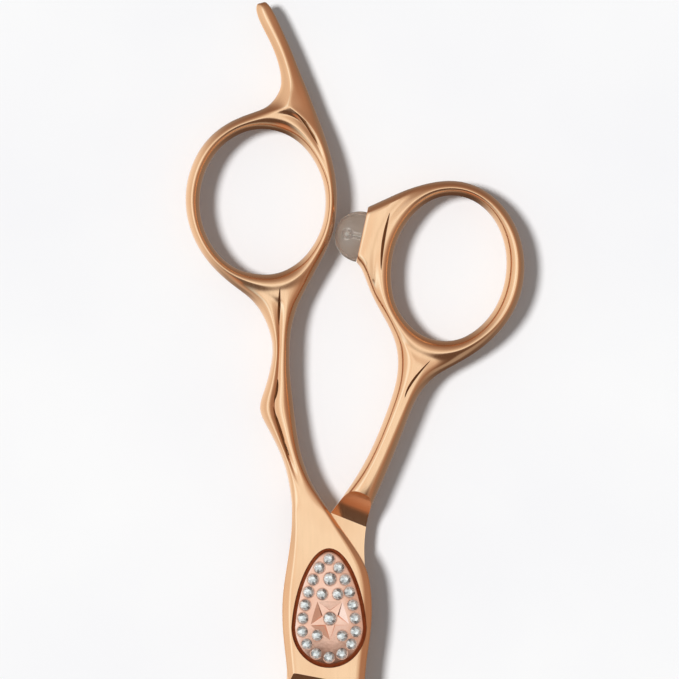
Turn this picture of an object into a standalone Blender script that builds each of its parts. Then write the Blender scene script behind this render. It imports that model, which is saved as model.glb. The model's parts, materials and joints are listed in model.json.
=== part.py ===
"""Hair cutting shears with a crystal-set pivot cover, as an assembly of separate pieces.

Metres, +Z up. The origin is on the pivot's axis, at the back face of the tension nut, which the
closed shears lie on. +X is to the right and the handles point to +Y, seen from the jewelled
front, and the blades point to -Y. Plan outlines are given in millimetres from the pivot's axis.
"""
import math

import bmesh
import bpy
from mathutils import Matrix, Vector

MM = 0.001

# Heights at the pivot, from the back face of the tension nut up.
NUT_PROUD = 0.9 * MM            # the nut stands this far out of the back half
PLATE = 3.0 * MM                # thickness of each half at the pivot
INNER = 0.15 * MM               # inner face of a half, from the plane between the halves
OUTER = INNER + PLATE           # outer face of a half, from that plane
HANDLE_HALF = 3.0 * MM          # rings and shanks reach this far each side of that plane
CONTACT_Z = NUT_PROUD + OUTER   # the plane between the halves
FRONT_Z = CONTACT_Z + OUTER
CLEAR = 0.05 * MM               # clearance between pieces that meet

# The ride faces: flat inside each plate, ending in a scooped shoulder below the shank.
RIDE_ARC = 10.7 * MM            # radius of the scoop
RIDE_LEAN = math.radians(14)    # how steeply the scoop leaves the flat
BEVEL_HEEL = (-7.2, -10.6)      # a point of the cutting edge, in mm
BEVEL_TIP = (-1.65, -58.0)
BEVEL_TILT = math.radians(21.5)
HEEL_LINE = ((-7.41, -9.14), (-0.34, -10.5))    # where the bevel's end meets the plate, in mm
HEEL_SLOPE = math.radians(21)
EDGE_THICK = 0.10 * MM
RIDE_FAR = 90 * MM              # past the blade's tip
FRONT_RIDE_END = 17.3 * MM      # from the pivot to the end of the flat, in the direction below
FRONT_RIDE_TOWARDS = (-0.25, 0.97)
BACK_RIDE_END = 16.85 * MM
BACK_RIDE_TOWARDS = (-0.37, 0.93)
ARC_STEPS = 6

# The screw, nut, bush and washers on the pivot's axis, from the back to the front.
SIDES = 32
NUT_R = 4.3 * MM
NUT_THICK = 1.6 * MM
NUT_FLUTES = 12
NUT_FLUTE_DEPTH = 0.3 * MM
NUT_FLOOR = 0.4 * MM
NUT_POCKET_R = 4.6 * MM
NUT_POCKET = 1.6 * MM
THREAD_R = 1.8 * MM
CLICK_R = 4.1 * MM
CLICK_Z = NUT_THICK + CLEAR
CLICK_THICK = 0.3 * MM
SPRING_R = 3.8 * MM
SPRING_Z = CLICK_Z + CLICK_THICK + CLEAR
SPRING_THICK = 0.42 * MM
JOURNAL_R = 2.4 * MM
JOURNAL_Z = SPRING_Z + SPRING_THICK + CLEAR
BUSH_WALL = 0.4 * MM
BUSH_Z = JOURNAL_Z + 0.08 * MM
BUSH_LENGTH = 1.05 * MM
WASHER_R = 4.6 * MM
WASHER_POCKET = 0.25 * MM
WASHER_Z = CONTACT_Z - INNER - WASHER_POCKET + CLEAR
WASHER_THICK = 0.45 * MM
HEAD_R = 3.4 * MM
HEAD_THICK = 0.8 * MM
SCREW_END_Z = 0.5 * MM

# The egg-shaped cover and its crystals.
COVER_MID_X = -0.16 * MM
COVER_MID_Y = -1.5 * MM         # where the egg is widest
COVER_HALF_WIDTH = 6.49 * MM
COVER_LONG = 13.6 * MM          # widest line to the narrow end
COVER_SHORT = 7.0 * MM          # widest line to the broad end
COVER_TAPER = 0.13              # how much narrower the narrow end is than an ellipse
COVER_SIDES = 40
COVER_GROOVE = 0.34 * MM        # the open line around the cover
COVER_POCKET = 1.2 * MM
COVER_BEVEL = 0.2 * MM
COVER_BACK_Z = FRONT_Z - COVER_POCKET + CLEAR
COVER_FACE_Z = FRONT_Z + 0.12 * MM
HEAD_SEAT = OUTER - COVER_POCKET - HEAD_THICK - 2 * CLEAR
HEAD_Z = CONTACT_Z + HEAD_SEAT + CLEAR
HEAD_TOP_Z = HEAD_Z + HEAD_THICK
STAR_R = 3.8 * MM
STAR_INNER = 0.382              # a regular five-pointed star's inner radius over its outer
STAR_RISE = 0.28 * MM
STONE_R = 0.95 * MM
LARGE_STONE_R = 1.1 * MM
STONE_ROW_IN = 1.87 * MM        # the outer row's centres, in from the pocket's wall
STONE_ROW_COUNT = 18
INNER_STONES = [                # mm from the pivot, and radius
    (0.0, 6.8, LARGE_STONE_R), (-1.35, 4.2, STONE_R), (1.35, 4.2, STONE_R),
    (0.0, 0.0, LARGE_STONE_R), (-2.2, -2.9, STONE_R), (2.1, -3.0, STONE_R)]
SEAT_CLEAR = 0.06 * MM
SEAT_DEPTH = 0.62 * MM
CRYSTAL_BACK = -0.55 * MM       # from the cover's face
CRYSTAL_TABLE = 0.42 * MM

# The bumper on the thumb ring's boss. Its place is in the back half's own frame.
BOSS_FACE = Vector((-5.45, 65.71, 0)) * MM
BOSS_TURN = math.radians(12.6)
BUMPER_DEPTH = 4.6 * MM
BUMPER_LENGTH = 8.8 * MM
BUMPER_HEIGHT = 4.8 * MM
BUMPER_GAP = 0.04 * MM
BUMPER_ROWS = 6
BUMPER_SIDES = 20
PIN_R = 0.6 * MM
PIN_BALL_R = 1.05 * MM
PIN_REACH = 2.3 * MM            # the ball's centre, out from the boss's face
PIN_SUNK = 2.2 * MM

# A half's cross-section has ten points, in this order round the bar.
SIDE_A, SHOULDER_A, RIDGE, SHOULDER_B, SIDE_B = range(5)
LOW_SIDE_B, LOW_SHOULDER_B, KEEL, LOW_SHOULDER_A, LOW_SIDE_A = range(5, 10)
POINTS = 10


# ---------------------------------------------------------------- cages of the two halves

def bar_section(a, b, top, bottom, shoulder=0.25, crown=0.82, wall=0.36, ridge=0.5, dip=0.0,
                far=None):
    """Ten points of a rounded bar between plan points a and b (mm), with heights in mm.

    shoulder is how far in the shoulders are, as a share of the width, crown their height as a
    share of the half thickness, and wall that of the side points. far sets the second
    shoulder apart from the first, and dip sinks the ridge into a valley.
    """
    a, b = Vector(a), Vector(b)
    far = shoulder if far is None else far
    shrink = (b - a) * shoulder / 24.0      # subdivision pulls each side in by this much
    a, b = a - shrink, b + shrink
    middle, half = (top + bottom) / 2, (top - bottom) / 2

    def point(share, height):
        place = a.lerp(b, share)
        return Vector((place.x, place.y, middle + height * half)) * MM

    upper = [point(0, wall), point(shoulder, crown), point(ridge, 1 - dip),
             point(1 - far, crown), point(1, wall)]
    lower = [point(1, -wall), point(1 - far, -crown), point(ridge, -1),
             point(shoulder, -crown), point(0, -wall)]
    return upper + lower


def blade_section(y, edge, spine, ridge_height, spine_height, ridge=0.60):
    """Ten points of a blade across the line y (mm): cutting edge, ridge, spine, and a root
    below the inner face, which the ride cutter takes away."""
    inner, root = INNER / MM, -0.9
    width = spine - edge

    def point(share, height):
        return Vector((edge + width * share, y, height)) * MM

    upper = [point(0, inner + 0.14), point(ridge * 0.5, inner + ridge_height * 0.62),
             point(ridge, inner + ridge_height),
             point(0.5 + ridge * 0.5, inner + (ridge_height + spine_height) * 0.54),
             point(1, inner + spine_height)]
    lower = [point(1, root), point(0.78, root), point(0.5, root), point(0.22, root),
             point(0, root)]
    return upper + lower


class Cage:
    """Quads that join cross-sections into a closed control cage."""

    def __init__(self):
        self.mesh = bmesh.new()
        self.crease = self.mesh.edges.layers.float.new("crease_edge")

    def section(self, points):
        return [self.mesh.verts.new(p) if p is not None else None for p in points]

    def bridge(self, first, second):
        """Quads between two sections. A missing point leaves a gap, where a branch joins."""
        for k in range(POINTS):
            corners = (first[k], first[(k + 1) % POINTS], second[(k + 1) % POINTS], second[k])
            if None not in corners:
                self.mesh.faces.new(corners)

    def sharpen(self, first, second, index, amount):
        edge = self.mesh.edges.get((first[index], second[index]))
        if edge is not None:
            edge[self.crease] = amount

    def strip(self, start, sections, creases, end_crease=0.0):
        """Continues from the section start through the others, and closes the end. creases
        gives, for each section, the amount on each sharpened line that leads to it."""
        previous = start
        for points, lines in zip(sections, creases):
            current = self.section(points)
            self.bridge(previous, current)
            for index, amount in lines.items():
                self.sharpen(previous, current, index, amount)
            previous = current
        for k in range(4):
            low = POINTS - 1 - k
            self.mesh.faces.new((previous[k], previous[k + 1], previous[low - 1], previous[low]))
        for k in range(POINTS):
            edge = self.mesh.edges.get((previous[k], previous[(k + 1) % POINTS]))
            edge[self.crease] = end_crease

    def ring(self, sections, junctions, valleys):
        """A closed loop of sections. A junction is the index of the first of the three
        sections that a branch grows from. valleys lists the sections whose ridge is sharp
        up to the next one. Returns each branch's first section."""
        made = [self.section(points) for points in sections]
        count = len(made)
        for k in range(count):
            self.bridge(made[k], made[(k + 1) % count])
            if k in valleys:
                self.sharpen(made[k], made[(k + 1) % count], RIDGE, VALLEY[RIDGE])
        starts = []
        for k in junctions:
            one, two, three = made[k], made[(k + 1) % count], made[(k + 2) % count]
            starts.append([one[SIDE_B], one[SHOULDER_B], two[SHOULDER_B], three[SHOULDER_B],
                           three[SIDE_B], three[LOW_SIDE_B], three[LOW_SHOULDER_B],
                           two[LOW_SHOULDER_B], one[LOW_SHOULDER_B], one[LOW_SIDE_B]])
        return starts

    def finish(self, name, levels):
        bmesh.ops.recalc_face_normals(self.mesh, faces=self.mesh.faces)
        made = bpy.data.meshes.new(name)
        self.mesh.to_mesh(made)
        self.mesh.free()
        made.shade_smooth()
        item = bpy.data.objects.new(name, made)
        bpy.context.scene.collection.objects.link(item)
        smooth = item.modifiers.new("surface", "SUBSURF")
        smooth.levels = smooth.render_levels = levels
        return item


def ring_sections(centre, radii, tilt, widths, open_at):
    """Sections round an elliptical finger hole. widths is a list of (angle, bar width, shape),
    with the angle in degrees from the hole's own +X axis. open_at lists the sections inside a
    junction, which have no outer side."""
    high = HANDLE_HALF / MM
    turn = Matrix.Rotation(math.radians(tilt), 2)
    sections = []
    for index, (angle, width, shape) in enumerate(widths):
        t = math.radians(angle)
        before, after = widths[index - 1][0], widths[(index + 1) % len(widths)][0]
        step = math.radians((after - before) % 360) / 2
        swell = 1 + (1 - math.cos(step)) / 3    # subdivision draws a closed loop in by this
        hole = turn @ Vector((radii[0] * math.cos(t), radii[1] * math.sin(t)))
        outward = turn @ Vector((math.cos(t) / radii[0], math.sin(t) / radii[1])).normalized()
        inner = Vector(centre) + hole * swell
        points = bar_section(inner, inner + outward * width, high, -high, **shape)
        if index in open_at:
            points[SIDE_B] = points[LOW_SIDE_B] = None
        sections.append(points)
    return sections


def bars(rows):
    """Sections of a shank, rest or boss, and the creases along each, from rows of side A and
    side B (mm in plan), top and bottom (mm), the section's shape, and its sharpened lines."""
    sections = [bar_section(a, b, top, bottom, **shape) for a, b, top, bottom, shape, _ in rows]
    return sections, [row[-1] for row in rows]


def grooved(ridge, dip):
    """Two lobes with a valley between them."""
    return {"shoulder": ridge * 0.5, "far": (1 - ridge) * 0.47, "crown": 1.05, "wall": 0.36,
            "ridge": ridge, "dip": dip}


FLAT = {"shoulder": 0.085, "crown": 1.0, "wall": 0.72}
BLEND = {"shoulder": 0.17, "crown": 0.94, "wall": 0.5, "ridge": 0.42, "dip": 0.04}
ROUND = {"shoulder": 0.25, "crown": 0.72, "wall": 0.40}
BOSS = {"shoulder": 0.13, "crown": 1.0, "wall": 0.62}
OUTWARD = {"shoulder": 0.3, "far": 0.2, "ridge": 0.62}
SOFT = {}
VALLEY = {RIDGE: 0.9, KEEL: 0.3}
RIDGED = {RIDGE: 0.45, KEEL: 0.45}
FAINT = {RIDGE: 0.15, KEEL: 0.15}
BEVELLED = {SHOULDER_A: 0.85, SHOULDER_B: 0.85, SIDE_A: 0.7, SIDE_B: 0.7}
BLOCK = {SHOULDER_A: 0.7, SHOULDER_B: 0.7, LOW_SHOULDER_A: 0.7, LOW_SHOULDER_B: 0.7}
BOSS_CREASE = 0.9

# Cutting edge, spine, ridge height and spine height down the blade, in mm from the pivot.
BLADE = [
    (-14.0, -6.8, 5.75, 2.75, 1.9),
    (-20.0, -6.1, 5.3, 2.55, 1.6),
    (-30.0, -4.93, 4.4, 2.3, 1.35),
    (-40.0, -3.76, 3.4, 2.0, 1.2),
    (-50.0, -2.59, 2.15, 1.65, 1.05),
    (-58.0, -1.65, 0.85, 1.25, 0.9),
    (-62.5, -1.15, -0.1, 0.95, 0.75),
    (-64.6, -0.95, -0.5, 0.7, 0.6),
]
BLADE_CREASES = [{RIDGE: amount} for amount in (0.45, 0.6, 0.6, 0.6, 0.55, 0.5, 0.3, 0.0)]
BACK_BLADE_SHIFT = 1.5 * MM     # the two blades mirror each other about x = -0.75 mm
PLATE_ROOT = -2.2               # mm: the plates' cages reach down to here, for the ride cutter
LEVELS = 1


def blade():
    return [blade_section(*row) for row in BLADE], BLADE_CREASES


def front_half():
    """Finger side: blade, shank, finger ring and fixed finger rest, forged as one."""
    high, flat, root = HANDLE_HALF / MM, OUTER / MM, PLATE_ROOT
    cage = Cage()
    widths = [(-62, 4.3, {}), (-45, 2.6, {}), (-24, 2.25, {}), (-2, 1.95, {}), (20, 2.35, {}),
              (47, 4.0, {"ridge": 0.53, "dip": 0.30, "crown": 1.0}),
              (71, 5.2, {"shoulder": 0.4, "far": 0.12, "ridge": 0.78, "dip": 0.24, "crown": 1.0}),
              (94, 2.8, {}), (114, 2.6, {}), (135, 2.7, {}), (156, 2.6, {}), (178, 2.55, {}),
              (201, 2.3, {}), (224, 2.2, {}), (247, 2.45, {}), (278, 4.3, {"crown": 0.98})]
    rings = ring_sections((-11.65, 71.75), (10.85, 12.6), 0, widths, open_at=(6, 15))
    rest_start, shank_start = cage.ring(rings, (5, 14), valleys=(4, 5))
    rest = [
        ((-2.6, 87.6), (-10.5, 88.2), high, -high, {**ROUND, "ridge": 0.6}, RIDGED),
        ((-4.0, 91.4), (-8.45, 91.0), 2.75, -2.75, {**ROUND, "ridge": 0.55}, RIDGED),
        ((-5.2, 94.1), (-8.4, 93.4), 2.4, -2.4, ROUND, FAINT),
        ((-6.5, 97.6), (-9.1, 96.5), 2.0, -2.0, ROUND, SOFT),
        ((-8.0, 100.9), (-10.4, 99.6), 1.7, -1.7, ROUND, SOFT),
        ((-9.2, 103.5), (-12.05, 102.6), 1.6, -1.6, ROUND, SOFT),
        ((-10.2, 105.4), (-12.85, 104.8), 1.5, -1.5, ROUND, SOFT),
        ((-11.1, 106.4), (-12.65, 106.0), 0.9, -0.9, ROUND, SOFT),
    ]
    cage.strip(rest_start, *bars(rest))
    shank = [
        ((-14.0, 55.5), (-5.6, 54.1), high, -high, grooved(0.63, 0.14), VALLEY),
        ((-11.8, 52.9), (-6.3, 51.7), high, -high, grooved(0.57, 0.24), VALLEY),
        ((-10.35, 49.5), (-6.85, 49.1), high, -high, grooved(0.47, 0.22), VALLEY),
        ((-9.75, 46.2), (-6.95, 46.2), high, -high, grooved(0.38, 0.16), VALLEY),
        ((-10.35, 42.8), (-6.95, 43.0), high, -high, grooved(0.43, 0.18), VALLEY),
        ((-11.2, 39.5), (-6.7, 40.0), high, -high, grooved(0.47, 0.26), VALLEY),
        ((-12.6, 36.1), (-6.3, 36.7), high, -high, grooved(0.45, 0.32), VALLEY),
        ((-11.0, 33.2), (-5.95, 33.6), high, -high, grooved(0.43, 0.32), VALLEY),
        ((-9.4, 30.2), (-5.4, 30.0), high, -high, grooved(0.38, 0.28), VALLEY),
        ((-7.85, 26.7), (-4.55, 26.6), high, -high, grooved(0.37, 0.20), VALLEY),
        ((-7.0, 22.9), (-3.1, 22.9), high, -high, BLEND, RIDGED),
        ((-6.55, 19.5), (-1.0, 19.8), flat, root, FLAT, SOFT),
        ((-6.5, 16.0), (1.4, 16.0), flat, root, FLAT, BEVELLED),
        ((-6.85, 12.6), (4.1, 12.4), flat, root, FLAT, BEVELLED),
        ((-7.45, 8.6), (6.45, 8.6), flat, root, FLAT, BEVELLED),
        ((-8.05, 4.8), (7.05, 4.9), flat, root, FLAT, BEVELLED),
        ((-8.25, 1.0), (7.25, 1.0), flat, root, FLAT, BEVELLED),
        ((-8.05, -2.9), (6.95, -2.9), flat, root, FLAT, BEVELLED),
        ((-7.6, -6.6), (6.3, -6.9), flat, root, FLAT, BEVELLED),
        ((-7.3, -9.6), (5.95, -10.6), flat, root, FLAT, BEVELLED),
        ((-6.95, -12.3), (5.85, -12.8), flat, root, FLAT, BEVELLED),
    ]
    sections, creases = bars(shank)
    edge, edge_creases = blade()
    cage.strip(shank_start, sections + edge, creases + edge_creases)
    return cage.finish("finger_half", LEVELS)


def back_half():
    """Thumb side, in its own frame with the outer face up, so +X here is to the left of the
    assembled shears: blade, shank, thumb ring and the boss that carries the bumper."""
    high, flat, root = HANDLE_HALF / MM, OUTER / MM, PLATE_ROOT
    cage = Cage()
    widths = [(-48, 2.45, {}), (-24, 3.3, {"dip": 0.10}),
              (15, 5.2, {"shoulder": 0.19, "far": 0.24, "ridge": 0.38, "dip": 0.36, "crown": 1.0}),
              (54, 3.1, {"dip": 0.12}), (82, 2.65, {}), (106, 2.55, {}), (129, 2.7, {}),
              (151, 2.95, OUTWARD), (172, 3.2, OUTWARD), (194, 3.3, OUTWARD), (215, 3.0, OUTWARD),
              (237, 3.1, {}), (258, 4.0, {}), (285, 5.2, {"crown": 0.98})]
    rings = ring_sections((-20.45, 60.3), (9.95, 12.6), 8, widths, open_at=(2, 13))
    boss_start, shank_start = cage.ring(rings, (1, 12), valleys=(1, 2))
    boss = [
        ((-5.6, 60.2), (-9.9, 72.4), high, -high, BOSS, BLOCK),
        ((-4.5, 61.4), (-6.55, 70.9), 2.98, -2.75, BOSS, BLOCK),
    ]
    cage.strip(boss_start, *bars(boss), BOSS_CREASE)
    shank = [
        ((-18.2, 41.9), (-11.5, 47.0), high, -high, grooved(0.34, 0.32), VALLEY),
        ((-15.9, 39.5), (-11.8, 44.0), high, -high, grooved(0.34, 0.30), VALLEY),
        ((-14.4, 36.9), (-11.5, 40.9), high, -high, grooved(0.38, 0.20), VALLEY),
        ((-13.3, 34.0), (-10.5, 37.5), high, -high, grooved(0.44, 0.14), RIDGED),
        ((-12.1, 30.9), (-8.95, 33.3), high, -high, grooved(0.48, 0.14), FAINT),
        ((-10.7, 27.4), (-7.15, 29.0), high, -high, grooved(0.5, 0.14), FAINT),
        ((-9.2, 23.8), (-4.95, 24.9), high, -high, grooved(0.5, 0.12), FAINT),
        ((-7.75, 20.7), (-2.5, 21.3), high, -high, BLEND, SOFT),
        ((-6.6, 17.7), (0.0, 17.9), flat, root, FLAT, SOFT),
        ((-6.0, 14.6), (2.6, 14.4), flat, root, FLAT, BEVELLED),
        ((-5.85, 11.2), (4.9, 11.0), flat, root, FLAT, BEVELLED),
        ((-6.1, 7.4), (6.5, 7.4), flat, root, FLAT, BEVELLED),
        ((-6.5, 3.6), (7.3, 3.6), flat, root, FLAT, BEVELLED),
        ((-6.7, -0.2), (7.5, -0.2), flat, root, FLAT, BEVELLED),
        ((-6.6, -3.9), (7.4, -3.9), flat, root, FLAT, BEVELLED),
        ((-6.2, -7.0), (7.4, -7.4), flat, root, FLAT, BEVELLED),
        ((-5.8, -9.8), (7.45, -10.6), flat, root, FLAT, BEVELLED),
        ((-5.45, -12.3), (7.4, -12.8), flat, root, FLAT, BEVELLED),
    ]
    sections, creases = bars(shank)
    edge, edge_creases = blade()
    shifted = [[p + Vector((BACK_BLADE_SHIFT, 0, 0)) for p in section] for section in edge]
    cage.strip(shank_start, sections + shifted, creases + edge_creases)
    return cage.finish("thumb_half", LEVELS)


# ---------------------------------------------------------------- cutters

def cutter(name, mesh, half, location=(0, 0, 0), rotation=(0, 0, 0)):
    """A hidden solid in a half's own frame, which a Boolean takes out of that half."""
    item = bpy.data.objects.new(name, mesh)
    bpy.context.scene.collection.objects.link(item)
    item.parent = half
    item.location = location
    item.rotation_euler = rotation
    item.hide_render = True
    item.display_type = "WIRE"
    cut = half.modifiers.new(name, "BOOLEAN")
    cut.operation = "DIFFERENCE"
    cut.solver = "EXACT"
    cut.object = item
    return item


def mesh_from(bm, name):
    bmesh.ops.recalc_face_normals(bm, faces=bm.faces)
    mesh = bpy.data.meshes.new(name)
    bm.to_mesh(mesh)
    bm.free()
    return mesh


def extruded(name, outline, low, high):
    """A prism over a plan outline, between two heights."""
    bm = bmesh.new()
    base = bm.faces.new([bm.verts.new((x, y, low)) for x, y in outline])
    grown = bmesh.ops.extrude_face_region(bm, geom=[base])["geom"]
    moved = [v for v in grown if isinstance(v, bmesh.types.BMVert)]
    bmesh.ops.translate(bm, verts=moved, vec=(0, 0, high - low))
    return mesh_from(bm, name)


def circle(radius, count=SIDES):
    return [(radius * math.cos(math.tau * k / count), radius * math.sin(math.tau * k / count))
            for k in range(count)]


def run_out(name, start, far, depth, radius, lean, steps):
    """A cutter with a flat face at height start that reaches far back. It ends in an arc that
    leaves the flat at the angle lean and drops away, as the rim of a grinding wheel cuts. It is
    wide along Y, and cuts along +X."""
    end = math.acos(math.cos(lean) - depth / radius)
    profile = [(-far, start - depth), (-far, start)]
    for k in range(steps + 1):
        slope = lean + (end - lean) * k / steps
        profile.append((radius * (math.sin(slope) - math.sin(lean)),
                        start - radius * (math.cos(lean) - math.cos(slope))))
    bm = bmesh.new()
    wide = 30 * MM
    base = bm.faces.new([bm.verts.new((u, -wide, z)) for u, z in profile])
    grown = bmesh.ops.extrude_face_region(bm, geom=[base])["geom"]
    moved = [v for v in grown if isinstance(v, bmesh.types.BMVert)]
    bmesh.ops.translate(bm, verts=moved, vec=(0, 2 * wide, 0))
    return mesh_from(bm, name)


def cut_ride_face(half, along, towards):
    """The flat inner face of a half, ending in a scooped shoulder. The flat ends at the distance
    along from the pivot, in the plan direction towards."""
    place = Vector(towards).normalized() * along
    depth = HANDLE_HALF + INNER + 0.5 * MM
    mesh = run_out("ride", INNER, RIDE_FAR, depth, RIDE_ARC, RIDE_LEAN, ARC_STEPS)
    turn = math.atan2(towards[1], towards[0])
    cutter(half.name + "_ride_cutter", mesh, half, (place.x, place.y, 0), (0, 0, turn))


def cut_bevel(half, shift):
    """The bevel from the cutting edge up to the blade's ridge. A plane that slopes up to a
    straight line across the plate ends it."""
    heel, tip = Vector(BEVEL_HEEL) * MM, Vector(BEVEL_TIP) * MM
    bm = bmesh.new()
    bmesh.ops.create_cube(bm, size=2)
    reach = Vector((60, 30, 5)) * MM
    for v in bm.verts:
        v.co = Vector((v.co.x * reach.x, v.co.y * reach.y, (v.co.z + 1) * reach.z))
    along = math.atan2(heel.y - tip.y, heel.x - tip.x)
    edge = Matrix.Translation((heel.x, heel.y, INNER + EDGE_THICK))
    bmesh.ops.transform(bm, verts=bm.verts, matrix=edge @ Matrix.Rotation(along, 4, "Z")
                        @ Matrix.Rotation(-BEVEL_TILT, 4, "X"))
    left, right = (Vector((*point, OUTER / MM)) * MM for point in HEEL_LINE)
    down = Matrix.Rotation(-math.pi / 2, 3, "Z") @ (right - left).normalized()
    normal = down * math.sin(HEEL_SLOPE) + Vector((0, 0, math.cos(HEEL_SLOPE)))
    cut = bmesh.ops.bisect_plane(bm, geom=[*bm.verts, *bm.edges, *bm.faces], plane_co=left,
                                 plane_no=normal, clear_inner=True)
    rim = [item for item in cut["geom_cut"] if isinstance(item, bmesh.types.BMEdge)]
    bmesh.ops.edgenet_fill(bm, edges=rim)
    mesh = mesh_from(bm, "bevel")
    cutter(half.name + "_bevel_cutter", mesh, half, (shift, 0, 0))


# ---------------------------------------------------------------- cover, crystals and star

def egg(angle, inset=0.0):
    """A point of the pocket's egg outline, moved in from the wall by inset."""
    def point(t):
        reach = COVER_LONG if math.sin(t) > 0 else COVER_SHORT
        taper = 1 - COVER_TAPER * max(0.0, math.sin(t))
        return Vector((COVER_MID_X + COVER_HALF_WIDTH * math.cos(t) * taper,
                       COVER_MID_Y + reach * math.sin(t)))

    along = point(angle + 0.01) - point(angle - 0.01)
    inward = Vector((-along.y, along.x)).normalized()
    return point(angle) + inward * inset


def egg_outline(inset, count):
    return [egg(math.tau * k / count, inset) for k in range(count)]


def crystal_places():
    """Centre and radius of each crystal: an even row inside the egg, then six within it."""
    fine = [egg(math.pi / 2 + math.tau * k / 720, STONE_ROW_IN) for k in range(721)]
    travelled = [0.0]
    for one, two in zip(fine, fine[1:]):
        travelled.append(travelled[-1] + (two - one).length)
    places = []
    for k in range(STONE_ROW_COUNT):
        wanted = travelled[-1] * k / STONE_ROW_COUNT
        nearest = min(range(720), key=lambda i: abs(travelled[i] - wanted))
        places.append((fine[nearest], STONE_R))
    for x, y, radius in INNER_STONES:
        places.append((Vector((x, y)) * MM, radius))
    return places


def cover_plate(colour):
    bm = bmesh.new()
    loops = []
    for inset, height in ((COVER_GROOVE, COVER_BACK_Z), (COVER_GROOVE, COVER_FACE_Z - COVER_BEVEL),
                          (COVER_GROOVE + COVER_BEVEL, COVER_FACE_Z)):
        loops.append([bm.verts.new((p.x, p.y, height)) for p in egg_outline(inset, COVER_SIDES)])
    for low, high in zip(loops, loops[1:]):
        for k in range(COVER_SIDES):
            other = (k + 1) % COVER_SIDES
            bm.faces.new((low[k], low[other], high[other], high[k]))
    bm.faces.new(loops[0])
    bm.faces.new(loops[-1])
    cover = solid("cover_plate", mesh_from(bm, "cover_plate"), colour)
    star = join_star(cover)
    star.parent = cover
    for index, (place, radius) in enumerate(crystal_places(), 1):
        seat = extruded("seat", circle(radius + SEAT_CLEAR, 12), COVER_FACE_Z - SEAT_DEPTH,
                        COVER_FACE_Z + STAR_RISE + 0.5 * MM)
        cutter(f"seat_cutter_{index:02d}", seat, cover, (place.x, place.y, 0))
    return cover


def join_star(cover):
    """A raised five-pointed star with ridged arms, point down, joined to the cover."""
    bm = bmesh.new()
    rim = []
    for k in range(10):
        angle = math.radians(-90 + 36 * k)
        reach = STAR_R if k % 2 == 0 else STAR_R * STAR_INNER
        rim.append((reach * math.cos(angle), reach * math.sin(angle)))
    top = [bm.verts.new((x, y, COVER_FACE_Z + 0.02 * MM)) for x, y in rim]
    low = [bm.verts.new((x, y, COVER_FACE_Z - 0.2 * MM)) for x, y in rim]
    peak = bm.verts.new((0, 0, COVER_FACE_Z + STAR_RISE))
    for k in range(10):
        other = (k + 1) % 10
        bm.faces.new((top[k], top[other], peak))
        bm.faces.new((low[k], low[other], top[other], top[k]))
    bm.faces.new(low)
    star = bpy.data.objects.new("star_joiner", mesh_from(bm, "star"))
    bpy.context.scene.collection.objects.link(star)
    star.hide_render = True
    star.display_type = "WIRE"
    union = cover.modifiers.new("star", "BOOLEAN")
    union.operation = "UNION"
    union.solver = "EXACT"
    union.object = star
    return star


def crystal_mesh(radius):
    """A round cut stone: flat table, eight crown facets, a girdle and a flat foil back."""
    bm = bmesh.new()
    rings = []
    for share, height, shift in ((0.9, CRYSTAL_BACK, 0.5), (1.0, -0.08 * MM, 0.5),
                                 (1.0, 0.02 * MM, 0.5), (0.58, CRYSTAL_TABLE, 0.0)):
        reach = radius * share
        angles = [math.tau * (k + shift) / 8 for k in range(8)]
        rings.append([bm.verts.new((reach * math.cos(a), reach * math.sin(a), height))
                      for a in angles])
    for low, high in zip(rings[:2], rings[1:3]):
        for k in range(8):
            other = (k + 1) % 8
            bm.faces.new((low[k], low[other], high[other], high[k]))
    girdle, table = rings[2], rings[3]
    for k in range(8):
        other = (k + 1) % 8
        bm.faces.new((girdle[k], table[other], table[k]))
        bm.faces.new((girdle[k], girdle[other], table[other]))
    bm.faces.new(rings[0])
    bm.faces.new(table)
    return mesh_from(bm, "crystal")


def crystals(colour):
    meshes = {radius: crystal_mesh(radius) for radius in (STONE_R, LARGE_STONE_R)}
    for index, (place, radius) in enumerate(crystal_places(), 1):
        stone = solid(f"crystal_{index:02d}", meshes[radius], colour)
        stone.location = (place.x, place.y, COVER_FACE_Z)


# ---------------------------------------------------------------- pivot stack

def turned(name, profile, colour, sides=SIDES):
    """A solid of revolution about Z. profile is (radius, height) from the lowest point on the
    axis or the lowest inner edge, up the outside, and back to the start."""
    bm = bmesh.new()
    rings = []
    for radius, height in profile:
        if radius == 0:
            rings.append([bm.verts.new((0, 0, height))])
        else:
            rings.append([bm.verts.new((x, y, height)) for x, y in circle(radius, sides)])
    closed = all(radius > 0 for radius, _ in profile)
    pairs = list(zip(rings, rings[1:]))
    if closed:
        pairs.append((rings[-1], rings[0]))
    for low, high in pairs:
        for k in range(sides):
            corners = [low[k % len(low)], low[(k + 1) % sides % len(low)],
                       high[(k + 1) % sides % len(high)], high[k % len(high)]]
            corners = list(dict.fromkeys(corners))
            bm.faces.new(corners)
    item = solid(name, mesh_from(bm, name), colour)
    item.data.shade_smooth()
    item.data.set_sharp_from_angle(angle=math.radians(35))
    return item


def pivot_screw(colour):
    """Flat head under the cover, plain journal, and the threaded end that the nut runs on."""
    return turned("pivot_screw", [
        (0, SCREW_END_Z), (THREAD_R - 0.2 * MM, SCREW_END_Z), (THREAD_R, SCREW_END_Z + 0.2 * MM),
        (THREAD_R, JOURNAL_Z), (JOURNAL_R, JOURNAL_Z), (JOURNAL_R, HEAD_Z),
        (HEAD_R, HEAD_Z), (HEAD_R, HEAD_TOP_Z - 0.2 * MM), (HEAD_R - 0.2 * MM, HEAD_TOP_Z),
        (0, HEAD_TOP_Z)], colour)


def ring_piece(name, inner, outer, low, high, colour):
    return turned(name, [(inner, low), (outer, low), (outer, high), (inner, high)], colour)


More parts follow.
